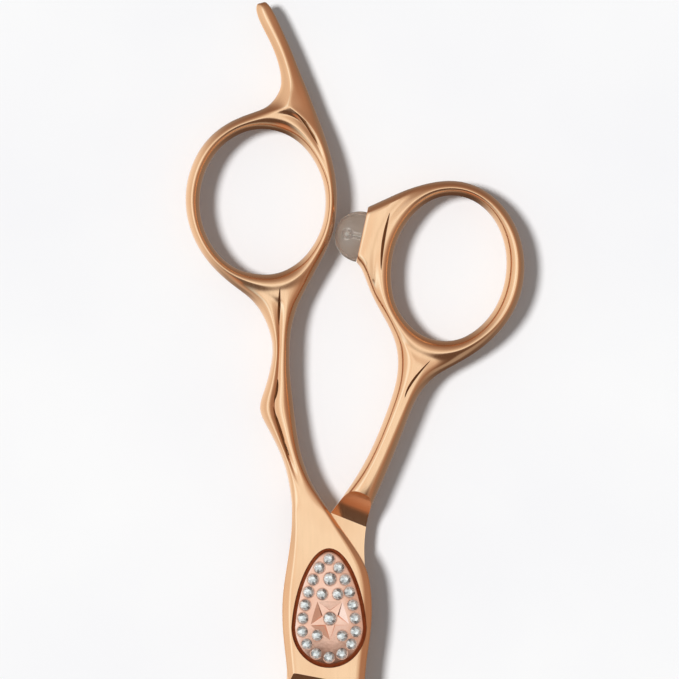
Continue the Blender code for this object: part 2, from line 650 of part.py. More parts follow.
def tension_nut(colour):
    """A fluted thumb nut with a blind threaded bore."""
    count = NUT_FLUTES * 4
    rim = []
    for k in range(count):
        angle = math.tau * k / count
        reach = NUT_R - NUT_FLUTE_DEPTH * (1 - math.cos(NUT_FLUTES * angle)) / 2
        rim.append((reach * math.cos(angle), reach * math.sin(angle)))
    nut = solid("tension_nut", extruded("tension_nut", rim, 0, NUT_THICK), colour)
    bore = extruded("nut_bore", circle(THREAD_R + CLEAR), NUT_FLOOR, NUT_THICK + 1 * MM)
    cutter("nut_bore_cutter", bore, nut)
    return nut


# ---------------------------------------------------------------- bumper

def bumper(half, colour):
    """A soft domed stop on the boss, over the pin's ball. Its own +X is out of the boss."""
    bm = bmesh.new()
    rings = []
    for k in range(BUMPER_ROWS):
        slope = math.pi / 2 * k / BUMPER_ROWS
        share = math.cos(slope)
        out = BUMPER_GAP + (BUMPER_DEPTH - BUMPER_GAP) * math.sin(slope)
        rings.append([bm.verts.new((out, BUMPER_LENGTH / 2 * share * math.cos(a),
                                    BUMPER_HEIGHT / 2 * share * math.sin(a)))
                      for a in (math.tau * i / BUMPER_SIDES for i in range(BUMPER_SIDES))])
    tip = bm.verts.new((BUMPER_DEPTH, 0, 0))
    for low, high in zip(rings, rings[1:]):
        for k in range(BUMPER_SIDES):
            other = (k + 1) % BUMPER_SIDES
            bm.faces.new((low[k], low[other], high[other], high[k]))
    for k in range(BUMPER_SIDES):
        bm.faces.new((rings[-1][k], rings[-1][(k + 1) % BUMPER_SIDES], tip))
    bm.faces.new(rings[0])
    item = solid("bumper", mesh_from(bm, "bumper"), colour)
    item.data.shade_smooth()
    item.data.set_sharp_from_angle(angle=math.radians(50))
    item.parent = half
    item.location = BOSS_FACE
    item.rotation_euler.z = BOSS_TURN
    socket = pin_profile(PIN_R + CLEAR, PIN_BALL_R + CLEAR, -0.5 * MM)
    cutter("bumper_socket_cutter", socket, item, (0, 0, 0), (0, math.pi / 2, 0))
    return item


def pin_profile(stem, ball, start):
    """A stem along +Z with a ball on its end, as a mesh. The ball's centre is at PIN_REACH."""
    neck = math.asin(stem / ball)
    profile = [(0, start), (stem, start)]
    for k in range(8):
        t = neck + (math.pi - neck) * k / 8
        profile.append((ball * math.sin(t), PIN_REACH - ball * math.cos(t)))
    profile.append((0, PIN_REACH + ball))
    made = turned("pin", profile, None, sides=12)
    mesh = made.data
    bpy.data.objects.remove(made)
    return mesh


def bumper_pin(half, colour):
    """A ball-headed pin pressed into the boss, which holds the bumper."""
    item = solid("bumper_pin", pin_profile(PIN_R, PIN_BALL_R, -PIN_SUNK), colour)
    item.parent = half
    item.location = BOSS_FACE
    item.rotation_euler = (0, math.pi / 2, BOSS_TURN)
    hole = extruded("pin_hole", circle(PIN_R + CLEAR, 12), -PIN_SUNK - 0.1 * MM, 1 * MM)
    cutter("pin_hole_cutter", hole, half, item.location, item.rotation_euler)
    return item


# ---------------------------------------------------------------- materials and assembly

def material(name, colour, metallic, roughness, transmission=0.0):
    made = bpy.data.materials.new(name)
    made.use_nodes = True
    surface = made.node_tree.nodes["Principled BSDF"]
    surface.inputs["Base Color"].default_value = (*colour, 1)
    surface.inputs["Metallic"].default_value = metallic
    surface.inputs["Roughness"].default_value = roughness
    surface.inputs["Transmission Weight"].default_value = transmission
    made.diffuse_color = (*colour, 1)
    return made


def solid(name, mesh, colour):
    item = bpy.data.objects.new(name, mesh)
    bpy.context.scene.collection.objects.link(item)
    if colour is not None and not mesh.materials:
        mesh.materials.append(colour)
    return item


def finger_half(colour):
    """The front half, with its blade ground and its screw, seat and cover let in."""
    half = front_half()
    half.data.materials.append(colour)
    half.location.z = CONTACT_Z
    cut_ride_face(half, FRONT_RIDE_END, FRONT_RIDE_TOWARDS)
    cut_bevel(half, 0)
    bore = extruded("front_bore", circle(JOURNAL_R + CLEAR), -1 * MM, OUTER + 1 * MM)
    cutter("front_bore_cutter", bore, half)
    seat = extruded("head_seat", circle(HEAD_R + CLEAR), HEAD_SEAT, OUTER + 1 * MM)
    cutter("head_seat_cutter", seat, half)
    pocket = extruded("pocket", egg_outline(0, COVER_SIDES), OUTER - COVER_POCKET, OUTER + 1 * MM)
    cutter("cover_pocket_cutter", pocket, half)
    return half


def thumb_half(colour):
    """The back half, with its blade ground and its bush, nut and washer let in."""
    half = back_half()
    half.data.materials.append(colour)
    half.rotation_euler.y = math.pi
    half.location.z = CONTACT_Z
    cut_ride_face(half, BACK_RIDE_END, BACK_RIDE_TOWARDS)
    cut_bevel(half, BACK_BLADE_SHIFT)
    bore = extruded("back_bore", circle(JOURNAL_R + BUSH_WALL + 2 * CLEAR), -1 * MM, OUTER + 1 * MM)
    cutter("back_bore_cutter", bore, half)
    pocket = extruded("nut_pocket", circle(NUT_POCKET_R), OUTER - NUT_POCKET, OUTER + 1 * MM)
    cutter("nut_pocket_cutter", pocket, half)
    pocket = extruded("washer_pocket", circle(WASHER_R + 2 * CLEAR), -1 * MM, INNER + WASHER_POCKET)
    cutter("washer_pocket_cutter", pocket, half)
    return half


def washers(steel, polymer):
    """The rings between the halves and under the nut."""
    ring_piece("click_plate", THREAD_R + CLEAR, CLICK_R, CLICK_Z, CLICK_Z + CLICK_THICK, steel)
    ring_piece("spring_washer", THREAD_R + 2 * CLEAR, SPRING_R, SPRING_Z,
               SPRING_Z + SPRING_THICK, steel)
    ring_piece("pivot_bush", JOURNAL_R + CLEAR, JOURNAL_R + CLEAR + BUSH_WALL, BUSH_Z,
               BUSH_Z + BUSH_LENGTH, polymer)
    ring_piece("ride_washer", JOURNAL_R + 2 * CLEAR, WASHER_R, WASHER_Z,
               WASHER_Z + WASHER_THICK, polymer)


def build():
    for item in list(bpy.data.objects):
        bpy.data.objects.remove(item)
    rose_gold = material("rose_gold_steel", (0.80, 0.47, 0.29), 1.0, 0.13)
    steel = material("pivot_steel", (0.60, 0.59, 0.57), 1.0, 0.25)
    finger_half(rose_gold)
    back = thumb_half(rose_gold)
    bumper_pin(back, steel)
    bumper(back, material("clear_silicone", (0.55, 0.50, 0.47), 0.0, 0.35, 0.5))
    cover_plate(material("cover_rose_copper", (0.80, 0.44, 0.32), 1.0, 0.25))
    crystals(material("clear_crystal", (0.95, 0.95, 0.96), 0.0, 0.03, 0.9))
    pivot_screw(steel)
    tension_nut(rose_gold)
    washers(steel, material("washer_polymer", (0.85, 0.84, 0.80), 0.0, 0.5))


build()
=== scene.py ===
"""Looks of the hair cutting shears: fine surfaces, finishes, light and camera.

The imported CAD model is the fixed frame. The two forged halves are built here from the control
cages of the CAD source at a finer level, and the cover, crystals, bumper and pin get their real
detail. Metres, +Z up, and the handles point to +Y. Plan outlines are in millimetres from the
pivot's axis.
"""
import json
import math

import bmesh
import bpy
from mathutils import Matrix, Vector
from mathutils.bvhtree import BVHTree

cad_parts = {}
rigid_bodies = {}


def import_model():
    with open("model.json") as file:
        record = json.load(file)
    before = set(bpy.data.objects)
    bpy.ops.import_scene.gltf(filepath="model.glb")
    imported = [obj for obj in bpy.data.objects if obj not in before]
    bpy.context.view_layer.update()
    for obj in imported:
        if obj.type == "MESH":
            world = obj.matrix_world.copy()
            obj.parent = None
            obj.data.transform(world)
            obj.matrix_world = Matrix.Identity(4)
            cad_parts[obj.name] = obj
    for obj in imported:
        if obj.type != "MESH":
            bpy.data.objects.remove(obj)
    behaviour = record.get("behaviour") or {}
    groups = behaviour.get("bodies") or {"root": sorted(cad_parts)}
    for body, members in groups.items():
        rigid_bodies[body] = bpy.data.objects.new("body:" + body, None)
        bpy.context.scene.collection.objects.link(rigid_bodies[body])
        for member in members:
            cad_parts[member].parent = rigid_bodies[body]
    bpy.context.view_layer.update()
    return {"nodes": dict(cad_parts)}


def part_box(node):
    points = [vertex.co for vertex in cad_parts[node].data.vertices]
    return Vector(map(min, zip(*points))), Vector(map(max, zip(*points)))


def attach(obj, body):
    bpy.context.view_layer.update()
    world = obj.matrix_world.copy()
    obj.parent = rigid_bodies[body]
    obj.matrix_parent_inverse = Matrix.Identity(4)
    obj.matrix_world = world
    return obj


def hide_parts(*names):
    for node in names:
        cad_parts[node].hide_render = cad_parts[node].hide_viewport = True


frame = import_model()

MM = 0.001

# Heights, from the frame.
FRONT_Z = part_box("finger_half")[1].z    # outer face of the front plate
BACK_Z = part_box("thumb_half")[0].z      # outer face of the back plate
CONTACT_Z = (FRONT_Z + BACK_Z) / 2      # the plane between the halves
OUTER = FRONT_Z - CONTACT_Z             # outer face of a half, from that plane
INNER = 0.15 * MM                       # inner face of a half, from that plane
HANDLE_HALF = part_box("thumb_half")[1].z - CONTACT_Z

# A half's cross-section has ten points, in this order round the bar.
SIDE_A, SHOULDER_A, RIDGE, SHOULDER_B, SIDE_B = range(5)
LOW_SIDE_B, LOW_SHOULDER_B, KEEL, LOW_SHOULDER_A, LOW_SIDE_A = range(5, 10)
POINTS = 10


# ---------------------------------------- making meshes and objects

def placed(name, data):
    """A new object in the scene."""
    item = bpy.data.objects.new(name, data)
    bpy.context.scene.collection.objects.link(item)
    return item


def mesh_from(bm, name):
    bmesh.ops.recalc_face_normals(bm, faces=bm.faces)
    mesh = bpy.data.meshes.new(name)
    bm.to_mesh(mesh)
    bm.free()
    return mesh


def circle(radius, count=96, centre=(0, 0), shift=0):
    """Plan points round a circle, which start shift steps on from +X."""
    turns = [math.tau * (k + shift) / count for k in range(count)]
    return [(centre[0] + radius * math.cos(t), centre[1] + radius * math.sin(t)) for t in turns]


def loop(bm, plan, z):
    return [bm.verts.new((x, y, z)) for x, y in plan]


def wall(bm, one, two):
    """Quads between two closed loops of as many points. Returns them."""
    count = len(one)
    return [bm.faces.new((one[k], one[(k + 1) % count], two[(k + 1) % count], two[k]))
            for k in range(count)]


def tube(bm, loops):
    """Walls through closed loops, with a face on each end."""
    bm.faces.new(loops[0])
    bm.faces.new(loops[-1])
    for one, two in zip(loops, loops[1:]):
        wall(bm, one, two)


def fan(bm, rim, tip):
    """Triangles from a closed loop to a point."""
    for k in range(len(rim)):
        bm.faces.new((rim[k], rim[(k + 1) % len(rim)], tip))


def prism(name, points, along):
    """A flat outline of points, extruded along a vector."""
    bm = bmesh.new()
    base = bm.faces.new([bm.verts.new(point) for point in points])
    grown = bmesh.ops.extrude_face_region(bm, geom=[base])["geom"]
    moved = [v for v in grown if isinstance(v, bmesh.types.BMVert)]
    bmesh.ops.translate(bm, verts=moved, vec=along)
    return mesh_from(bm, name)


def extruded(name, outline, low, high):
    """A prism over a plan outline, between two heights."""
    return prism(name, [(x, y, low) for x, y in outline], (0, 0, high - low))


# ---------------------------------------- cages of the two halves

def bar_section(a, b, heights, shoulder=0.25, crown=0.82, wall=0.36, ridge=0.5, dip=0.0,
                far=None):
    """Ten points of a rounded bar between plan points a and b (mm). heights has its top and
    bottom (mm).

    shoulder is how far in the shoulders are, as a share of the width, crown their height as a
    share of the half thickness, and wall that of the side points. far sets the second
    shoulder apart from the first, and dip sinks the ridge into a valley.
    """
    a, b = Vector(a), Vector(b)
    far = shoulder if far is None else far
    shrink = (b - a) * shoulder / 24.0      # subdivision pulls each side in by this much
    a, b = a - shrink, b + shrink
    top, bottom = heights
    middle, half = (top + bottom) / 2, (top - bottom) / 2

    def point(share, height):
        place = a.lerp(b, share)
        return Vector((place.x, place.y, middle + height * half)) * MM

    shares = (0, shoulder, ridge, 1 - far, 1)
    upper = zip(shares, (wall, crown, 1 - dip, crown, wall))
    lower = zip(shares[::-1], (-wall, -crown, -1, -crown, -wall))
    return [point(*pair) for pair in (*upper, *lower)]


def blade_section(y, edge, spine, ridge_height, spine_height, ridge=0.60):
    """Ten points of a blade across the line y (mm): cutting edge, ridge, spine, and a root
    below the inner face, which the ride cutter takes away."""
    inner, root = INNER / MM, BLADE_ROOT
    width = spine - edge

    def point(share, height):
        return Vector((edge + width * share, y, height)) * MM

    upper = [point(0, inner + 0.14), point(ridge * 0.5, inner + ridge_height * 0.62),
             point(ridge, inner + ridge_height),
             point(0.5 + ridge * 0.5, inner + (ridge_height + spine_height) * 0.54),
             point(1, inner + spine_height)]
    return upper + [point(share, root) for share in (1, 0.78, 0.5, 0.22, 0)]


class Cage:
    """Quads that join cross-sections into a closed control cage."""

    def __init__(self):
        self.mesh = bmesh.new()
        self.crease = self.mesh.edges.layers.float.new("crease_edge")

    def section(self, points):
        return [self.mesh.verts.new(p) if p is not None else None for p in points]

    def bridge(self, first, second):
        """Quads between two sections. A missing point leaves a gap, where a branch joins."""
        for k in range(POINTS):
            corners = (first[k], first[(k + 1) % POINTS], second[(k + 1) % POINTS], second[k])
            if None not in corners:
                self.mesh.faces.new(corners)

    def sharpen(self, first, second, index, amount):
        edge = self.mesh.edges.get((first[index], second[index]))
        if edge is not None:
            edge[self.crease] = amount

    def strip(self, start, sections, creases, end_crease=0.0):
        """Continues from the section start through the others, and closes the end. creases
        gives, for each section, the amount on each sharpened line that leads to it."""
        previous = start
        for points, lines in zip(sections, creases):
            current = self.section(points)
            self.bridge(previous, current)
            for index, amount in lines.items():
                self.sharpen(previous, current, index, amount)
            previous = current
        for k in range(4):
            low = POINTS - 1 - k
            self.mesh.faces.new((previous[k], previous[k + 1], previous[low - 1], previous[low]))
        for k in range(POINTS):
            edge = self.mesh.edges.get((previous[k], previous[(k + 1) % POINTS]))
            edge[self.crease] = end_crease

    def ring(self, sections, junctions, valleys):
        """A closed loop of sections. A junction is the index of the first of the three
        sections that a branch grows from. valleys lists the sections whose ridge is sharp
        up to the next one. Returns each branch's first section."""
        made = [self.section(points) for points in sections]
        count = len(made)
        for k in range(count):
            self.bridge(made[k], made[(k + 1) % count])
            if k in valleys:
                self.sharpen(made[k], made[(k + 1) % count], RIDGE, VALLEY[RIDGE])
        starts = []
        for k in junctions:
            one, two, three = made[k], made[(k + 1) % count], made[(k + 2) % count]
            starts.append([one[SIDE_B], one[SHOULDER_B], two[SHOULDER_B], three[SHOULDER_B],
                           three[SIDE_B], three[LOW_SIDE_B], three[LOW_SHOULDER_B],
                           two[LOW_SHOULDER_B], one[LOW_SHOULDER_B], one[LOW_SIDE_B]])
        return starts

    def finish(self, name):
        bmesh.ops.recalc_face_normals(self.mesh, faces=self.mesh.faces)
        made = bpy.data.meshes.new(name)
        self.mesh.to_mesh(made)
        self.mesh.free()
        made.shade_smooth()
        item = placed(name, made)
        smooth = item.modifiers.new("surface", "SUBSURF")
        smooth.levels = smooth.render_levels = LEVELS
        return item


def ring_sections(centre, radii, tilt, widths, open_at):
    """Sections round an elliptical finger hole. widths is a list of (angle, bar width, shape),
    with the angle in degrees from the hole's own +X axis. open_at lists the sections inside a
    junction, which have no outer side."""
    turn = Matrix.Rotation(math.radians(tilt), 2)
    sections = []
    for index, (angle, width, shape) in enumerate(widths):
        t = math.radians(angle)
        before, after = widths[index - 1][0], widths[(index + 1) % len(widths)][0]
        step = math.radians((after - before) % 360) / 2
        swell = 1 + (1 - math.cos(step)) / 3    # subdivision draws a closed loop in by this
        hole = turn @ Vector((radii[0] * math.cos(t), radii[1] * math.sin(t)))
        outward = turn @ Vector((math.cos(t) / radii[0], math.sin(t) / radii[1])).normalized()
        inner = Vector(centre) + hole * swell
        points = bar_section(inner, inner + outward * width, GRIP, **shape)
        if index in open_at:
            points[SIDE_B] = points[LOW_SIDE_B] = None
        sections.append(points)
    return sections


def bars(rows):
    """Sections of a shank, rest or boss, and the creases along each, from rows of side A and
    side B (mm in plan), top and bottom (mm), the section's shape, and its sharpened lines."""
    sections = [bar_section(a, b, heights, **shape) for a, b, heights, shape, _ in rows]
    return sections, [row[-1] for row in rows]


def plate_rows(*sides):
    """Rows of the flat plate about the pivot, from side A and side B of each. The first row
    turns soft into the shank, and the others are bevelled."""
    return [(a, b, (OUTER / MM, PLATE_ROOT), FLAT, BEVELLED if index else SOFT)
            for index, (a, b) in enumerate(sides)]


def grooved(ridge, dip):
    """Two lobes with a valley between them."""
    return {"shoulder": ridge * 0.5, "far": (1 - ridge) * 0.47, "crown": 1.05, "wall": 0.36,
            "ridge": ridge, "dip": dip}


GRIP = (HANDLE_HALF / MM, -HANDLE_HALF / MM)    # top and bottom of rings and shanks, in mm
FLAT = {"shoulder": 0.085, "crown": 1.0, "wall": 0.72}
BLEND = {"shoulder": 0.17, "crown": 0.94, "wall": 0.5, "ridge": 0.42, "dip": 0.04}
ROUND = {"shoulder": 0.25, "crown": 0.72, "wall": 0.40}
BOSS = {"shoulder": 0.13, "crown": 1.0, "wall": 0.62}
OUTWARD = {"shoulder": 0.3, "far": 0.2, "ridge": 0.62}
SOFT = {}
VALLEY = {RIDGE: 0.9, KEEL: 0.3}
RIDGED = {RIDGE: 0.45, KEEL: 0.45}
FAINT = {RIDGE: 0.15, KEEL: 0.15}
BEVELLED = {SHOULDER_A: 0.85, SHOULDER_B: 0.85, SIDE_A: 0.7, SIDE_B: 0.7}
BLOCK = {SHOULDER_A: 0.7, SHOULDER_B: 0.7, LOW_SHOULDER_A: 0.7, LOW_SHOULDER_B: 0.7}
BOSS_CREASE = 0.9

# Cutting edge, spine, ridge height and spine height down the blade, in mm from the pivot.
BLADE = [
    (-14.0, -6.8, 5.75, 2.75, 1.9),
    (-20.0, -6.1, 5.3, 2.55, 1.6),
    (-30.0, -4.93, 4.4, 2.3, 1.35),
    (-40.0, -3.76, 3.4, 2.0, 1.2),
    (-50.0, -2.59, 2.15, 1.65, 1.05),
    (-58.0, -1.65, 0.85, 1.25, 0.9),
    (-62.5, -1.15, -0.1, 0.95, 0.75),
    (-64.6, -0.95, -0.5, 0.7, 0.6),
]
BLADE_CREASES = [{RIDGE: amount} for amount in (0.45, 0.6, 0.6, 0.6, 0.55, 0.5, 0.3, 0.0)]
BACK_BLADE_SHIFT = 1.5 * MM     # the two blades mirror each other about x = -0.75 mm
PLATE_ROOT = -2.2               # mm: the cages of plates and blades reach down to here, and
BLADE_ROOT = -0.9               # the ride cutter takes away what is below the inner face
LEVELS = 3


def add_shank_and_blade(cage, start, rows, shift=0.0):
    """The shank and plate that grow from a ring's junction, and the blade, moved by shift."""
    sections, creases = bars(rows)
    edge = [[p + Vector((shift, 0, 0)) for p in blade_section(*row)] for row in BLADE]
    cage.strip(start, sections + edge, creases + BLADE_CREASES)


def front_half():
    """Finger side: blade, shank, finger ring and fixed finger rest, forged as one."""
    cage = Cage()
    widths = [(-62, 4.3, {}), (-45, 2.6, {}), (-24, 2.25, {}), (-2, 1.95, {}), (20, 2.35, {}),
              (47, 4.0, {"ridge": 0.53, "dip": 0.30, "crown": 1.0}),
              (71, 5.2, {"shoulder": 0.4, "far": 0.12, "ridge": 0.78, "dip": 0.24, "crown": 1.0}),
              (94, 2.8, {}), (114, 2.6, {}), (135, 2.7, {}), (156, 2.6, {}), (178, 2.55, {}),
              (201, 2.3, {}), (224, 2.2, {}), (247, 2.45, {}), (278, 4.3, {"crown": 0.98})]
    rings = ring_sections((-11.65, 71.75), (10.85, 12.6), 0, widths, open_at=(6, 15))
    rest_start, shank_start = cage.ring(rings, (5, 14), valleys=(4, 5))
    rest = [
        ((-2.6, 87.6), (-10.5, 88.2), GRIP, {**ROUND, "ridge": 0.6}, RIDGED),
        ((-4.0, 91.4), (-8.45, 91.0), (2.75, -2.75), {**ROUND, "ridge": 0.55}, RIDGED),
        ((-5.2, 94.1), (-8.4, 93.4), (2.4, -2.4), ROUND, FAINT),
        ((-6.5, 97.6), (-9.1, 96.5), (2.0, -2.0), ROUND, SOFT),
        ((-8.0, 100.9), (-10.4, 99.6), (1.7, -1.7), ROUND, SOFT),
        ((-9.2, 103.5), (-12.05, 102.6), (1.6, -1.6), ROUND, SOFT),
        ((-10.2, 105.4), (-12.85, 104.8), (1.5, -1.5), ROUND, SOFT),
        ((-11.1, 106.4), (-12.65, 106.0), (0.9, -0.9), ROUND, SOFT),
    ]
    cage.strip(rest_start, *bars(rest))
    shank = [
        ((-14.0, 55.5), (-5.6, 54.1), GRIP, grooved(0.63, 0.14), VALLEY),
        ((-11.8, 52.9), (-6.3, 51.7), GRIP, grooved(0.57, 0.24), VALLEY),
        ((-10.35, 49.5), (-6.85, 49.1), GRIP, grooved(0.47, 0.22), VALLEY),
        ((-9.75, 46.2), (-6.95, 46.2), GRIP, grooved(0.38, 0.16), VALLEY),
        ((-10.35, 42.8), (-6.95, 43.0), GRIP, grooved(0.43, 0.18), VALLEY),
        ((-11.2, 39.5), (-6.7, 40.0), GRIP, grooved(0.47, 0.26), VALLEY),
        ((-12.6, 36.1), (-6.3, 36.7), GRIP, grooved(0.45, 0.32), VALLEY),
        ((-11.0, 33.2), (-5.95, 33.6), GRIP, grooved(0.43, 0.32), VALLEY),
        ((-9.4, 30.2), (-5.4, 30.0), GRIP, grooved(0.38, 0.28), VALLEY),
        ((-7.85, 26.7), (-4.55, 26.6), GRIP, grooved(0.37, 0.20), VALLEY),
        ((-7.0, 22.9), (-3.1, 22.9), GRIP, BLEND, RIDGED),
    ]
    plate = plate_rows(
        ((-6.55, 19.5), (-1.0, 19.8)), ((-6.5, 16.0), (1.4, 16.0)), ((-6.85, 12.6), (4.1, 12.4)),
        ((-7.45, 8.6), (6.45, 8.6)), ((-8.05, 4.8), (7.05, 4.9)), ((-8.25, 1.0), (7.25, 1.0)),
        ((-8.05, -2.9), (6.95, -2.9)), ((-7.6, -6.6), (6.3, -6.9)), ((-7.3, -9.6), (5.95, -10.6)),
        ((-6.95, -12.3), (5.85, -12.8)))
    add_shank_and_blade(cage, shank_start, shank + plate)
    return cage.finish("finger_half")


def back_half():
    """Thumb side, in its own frame with the outer face up, so +X here is to the left of the
    assembled shears: blade, shank, thumb ring and the boss that carries the bumper."""
    cage = Cage()
    widths = [(-48, 2.45, {}), (-24, 3.3, {"dip": 0.10}),
              (15, 5.2, {"shoulder": 0.19, "far": 0.24, "ridge": 0.38, "dip": 0.36, "crown": 1.0}),
              (54, 3.1, {"dip": 0.12}), (82, 2.65, {}), (106, 2.55, {}), (129, 2.7, {}),
              (151, 2.95, OUTWARD), (172, 3.2, OUTWARD), (194, 3.3, OUTWARD), (215, 3.0, OUTWARD),
              (237, 3.1, {}), (258, 4.0, {}), (285, 5.2, {"crown": 0.98})]
    rings = ring_sections((-20.45, 60.3), (9.95, 12.6), 8, widths, open_at=(2, 13))
    boss_start, shank_start = cage.ring(rings, (1, 12), valleys=(1, 2))
    boss = [
        ((-5.6, 60.2), (-9.9, 72.4), GRIP, BOSS, BLOCK),
        ((-4.5, 61.4), (-6.55, 70.9), (2.98, -2.75), BOSS, BLOCK),
    ]
    cage.strip(boss_start, *bars(boss), BOSS_CREASE)
    shank = [
        ((-18.2, 41.9), (-11.5, 47.0), GRIP, grooved(0.34, 0.32), VALLEY),
        ((-15.9, 39.5), (-11.8, 44.0), GRIP, grooved(0.34, 0.30), VALLEY),
        ((-14.4, 36.9), (-11.5, 40.9), GRIP, grooved(0.38, 0.20), VALLEY),
        ((-13.3, 34.0), (-10.5, 37.5), GRIP, grooved(0.44, 0.14), RIDGED),
        ((-12.1, 30.9), (-8.95, 33.3), GRIP, grooved(0.48, 0.14), FAINT),
        ((-10.7, 27.4), (-7.15, 29.0), GRIP, grooved(0.5, 0.14), FAINT),
        ((-9.2, 23.8), (-4.95, 24.9), GRIP, grooved(0.5, 0.12), FAINT),
        ((-7.75, 20.7), (-2.5, 21.3), GRIP, BLEND, SOFT),
    ]
    plate = plate_rows(
        ((-6.6, 17.7), (0.0, 17.9)), ((-6.0, 14.6), (2.6, 14.4)), ((-5.85, 11.2), (4.9, 11.0)),
        ((-6.1, 7.4), (6.5, 7.4)), ((-6.5, 3.6), (7.3, 3.6)), ((-6.7, -0.2), (7.5, -0.2)),
        ((-6.6, -3.9), (7.4, -3.9)), ((-6.2, -7.0), (7.4, -7.4)), ((-5.8, -9.8), (7.45, -10.6)),
        ((-5.45, -12.3), (7.4, -12.8)))
    add_shank_and_blade(cage, shank_start, shank + plate, BACK_BLADE_SHIFT)
    return cage.finish("thumb_half")


# ---------------------------------------- cutters and final meshes

# The second mark paints shade: its faces get a darker colour for creases and hollows.
CUT, PAINTED_SHADE_CUT = 1, 2            # marks on the faces that cutters leave
SHARP_OVER = math.radians(32)
CUT_SHARP_OVER = math.radians(12)
RIDE_ARC = 10.7 * MM            # radius of the scoop that ends a ride face
RIDE_LEAN = math.radians(14)    # how steeply the scoop leaves the flat
RIDE_FAR = 90 * MM              # the ride cutter's length, past the blade's tip
RIDE_HALF_WIDE = 30 * MM
RIDE_SPARE = 0.5 * MM           # how far the ride cutter goes past the handle
ARC_STEPS = 24
BEVEL_HEEL = (-7.2, -10.6)      # a point of the cutting edge, in mm
BEVEL_TIP = (-1.65, -58.0)
BEVEL_TILT = math.radians(21.5)
BEVEL_REACH = Matrix.Diagonal((60 * MM, 30 * MM, 5 * MM))     # half the bevel cutter's size
HEEL_LINE = ((-7.41, -9.14), (-0.34, -10.5))    # where the bevel's end meets the plate, in mm
HEEL_SLOPE = math.radians(21)
EDGE_THICK = 0.10 * MM
CREASE_STEPS = 24
CREASE_LIFT = 0.25 * MM         # a crease's cutter starts this far above the surface
CREASE_END = 0.1                # a crease's depth at its ends, as a share of the full depth


def cutter(name, mesh, half, location=(0, 0, 0), rotation=(0, 0, 0)):
    """A solid in a half's own frame, which a Boolean takes out of that half."""
    item = placed(name, mesh)
    item.parent = half
    item.location = location
    item.rotation_euler = rotation
    for face in mesh.polygons:
        face.material_index = max(face.material_index, CUT)
    cut = half.modifiers.new(name, "BOOLEAN")
    cut.operation = "DIFFERENCE"
    cut.solver = "EXACT"
    cut.object = item


def run_out(name, start, far, depth, radius, lean, steps):
    """A cutter with a flat face at height start that reaches far back. It ends in an arc that
    leaves the flat at the angle lean and drops away, as the rim of a grinding wheel cuts. It is
    wide along Y, and cuts along +X."""
    end = math.acos(math.cos(lean) - depth / radius)
    profile = [(-far, start - depth), (-far, start)]
    for k in range(steps + 1):
        slope = lean + (end - lean) * k / steps
        profile.append((radius * (math.sin(slope) - math.sin(lean)),
                        start - radius * (math.cos(lean) - math.cos(slope))))
    return prism(name, [(u, -RIDE_HALF_WIDE, z) for u, z in profile], (0, 2 * RIDE_HALF_WIDE, 0))


def cut_ride_face(half, along, towards):
    """The flat inner face of a half, ending in a scooped shoulder. The flat ends at the distance
    along from the pivot, in the plan direction towards."""
    place = Vector(towards).normalized() * along
    depth = HANDLE_HALF + INNER + RIDE_SPARE
    mesh = run_out("ride", INNER, RIDE_FAR, depth, RIDE_ARC, RIDE_LEAN, ARC_STEPS)
    turn = math.atan2(towards[1], towards[0])
    cutter(half.name + "_ride_cutter", mesh, half, (place.x, place.y, 0), (0, 0, turn))


def cut_bevel(half, shift):
    """The bevel from the cutting edge up to the blade's ridge. A plane that slopes up to a
    straight line across the plate ends it."""
    heel, tip = Vector(BEVEL_HEEL) * MM, Vector(BEVEL_TIP) * MM
    bm = bmesh.new()
    bmesh.ops.create_cube(bm, size=2)
    for v in bm.verts:
        v.co = BEVEL_REACH @ (v.co + Vector((0, 0, 1)))
    along = math.atan2(heel.y - tip.y, heel.x - tip.x)
    edge = Matrix.Translation((heel.x, heel.y, INNER + EDGE_THICK))
    bmesh.ops.transform(bm, verts=bm.verts, matrix=edge @ Matrix.Rotation(along, 4, "Z")
                        @ Matrix.Rotation(-BEVEL_TILT, 4, "X"))
    left, right = (Vector((*point, OUTER / MM)) * MM for point in HEEL_LINE)
    down = Matrix.Rotation(-math.pi / 2, 3, "Z") @ (right - left).normalized()
    normal = down * math.sin(HEEL_SLOPE) + Vector((0, 0, math.cos(HEEL_SLOPE)))
    cut = bmesh.ops.bisect_plane(bm, geom=[*bm.verts, *bm.edges, *bm.faces], plane_co=left,
                                 plane_no=normal, clear_inner=True)
    rim = [item for item in cut["geom_cut"] if isinstance(item, bmesh.types.BMEdge)]
    bmesh.ops.edgenet_fill(bm, edges=rim)
    mesh = mesh_from(bm, "bevel")
    cutter(half.name + "_bevel_cutter", mesh, half, (shift, 0, 0))


def with_painted_shade(mesh):
    """Marks a cutter's faces, so that what it cuts shows the piece's painted crease shade."""
    for face in mesh.polygons:
        face.material_index = PAINTED_SHADE_CUT
    return mesh


def piece(name, mesh, colours, body, slot, *nodes):
    """A shown piece in the row frame, which rides on a CAD body and stands for CAD nodes."""
    item = placed(name, finished(mesh))
    for colour in colours:
        mesh.materials.append(colour)
    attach(item, body)
    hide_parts(*nodes)
    return item


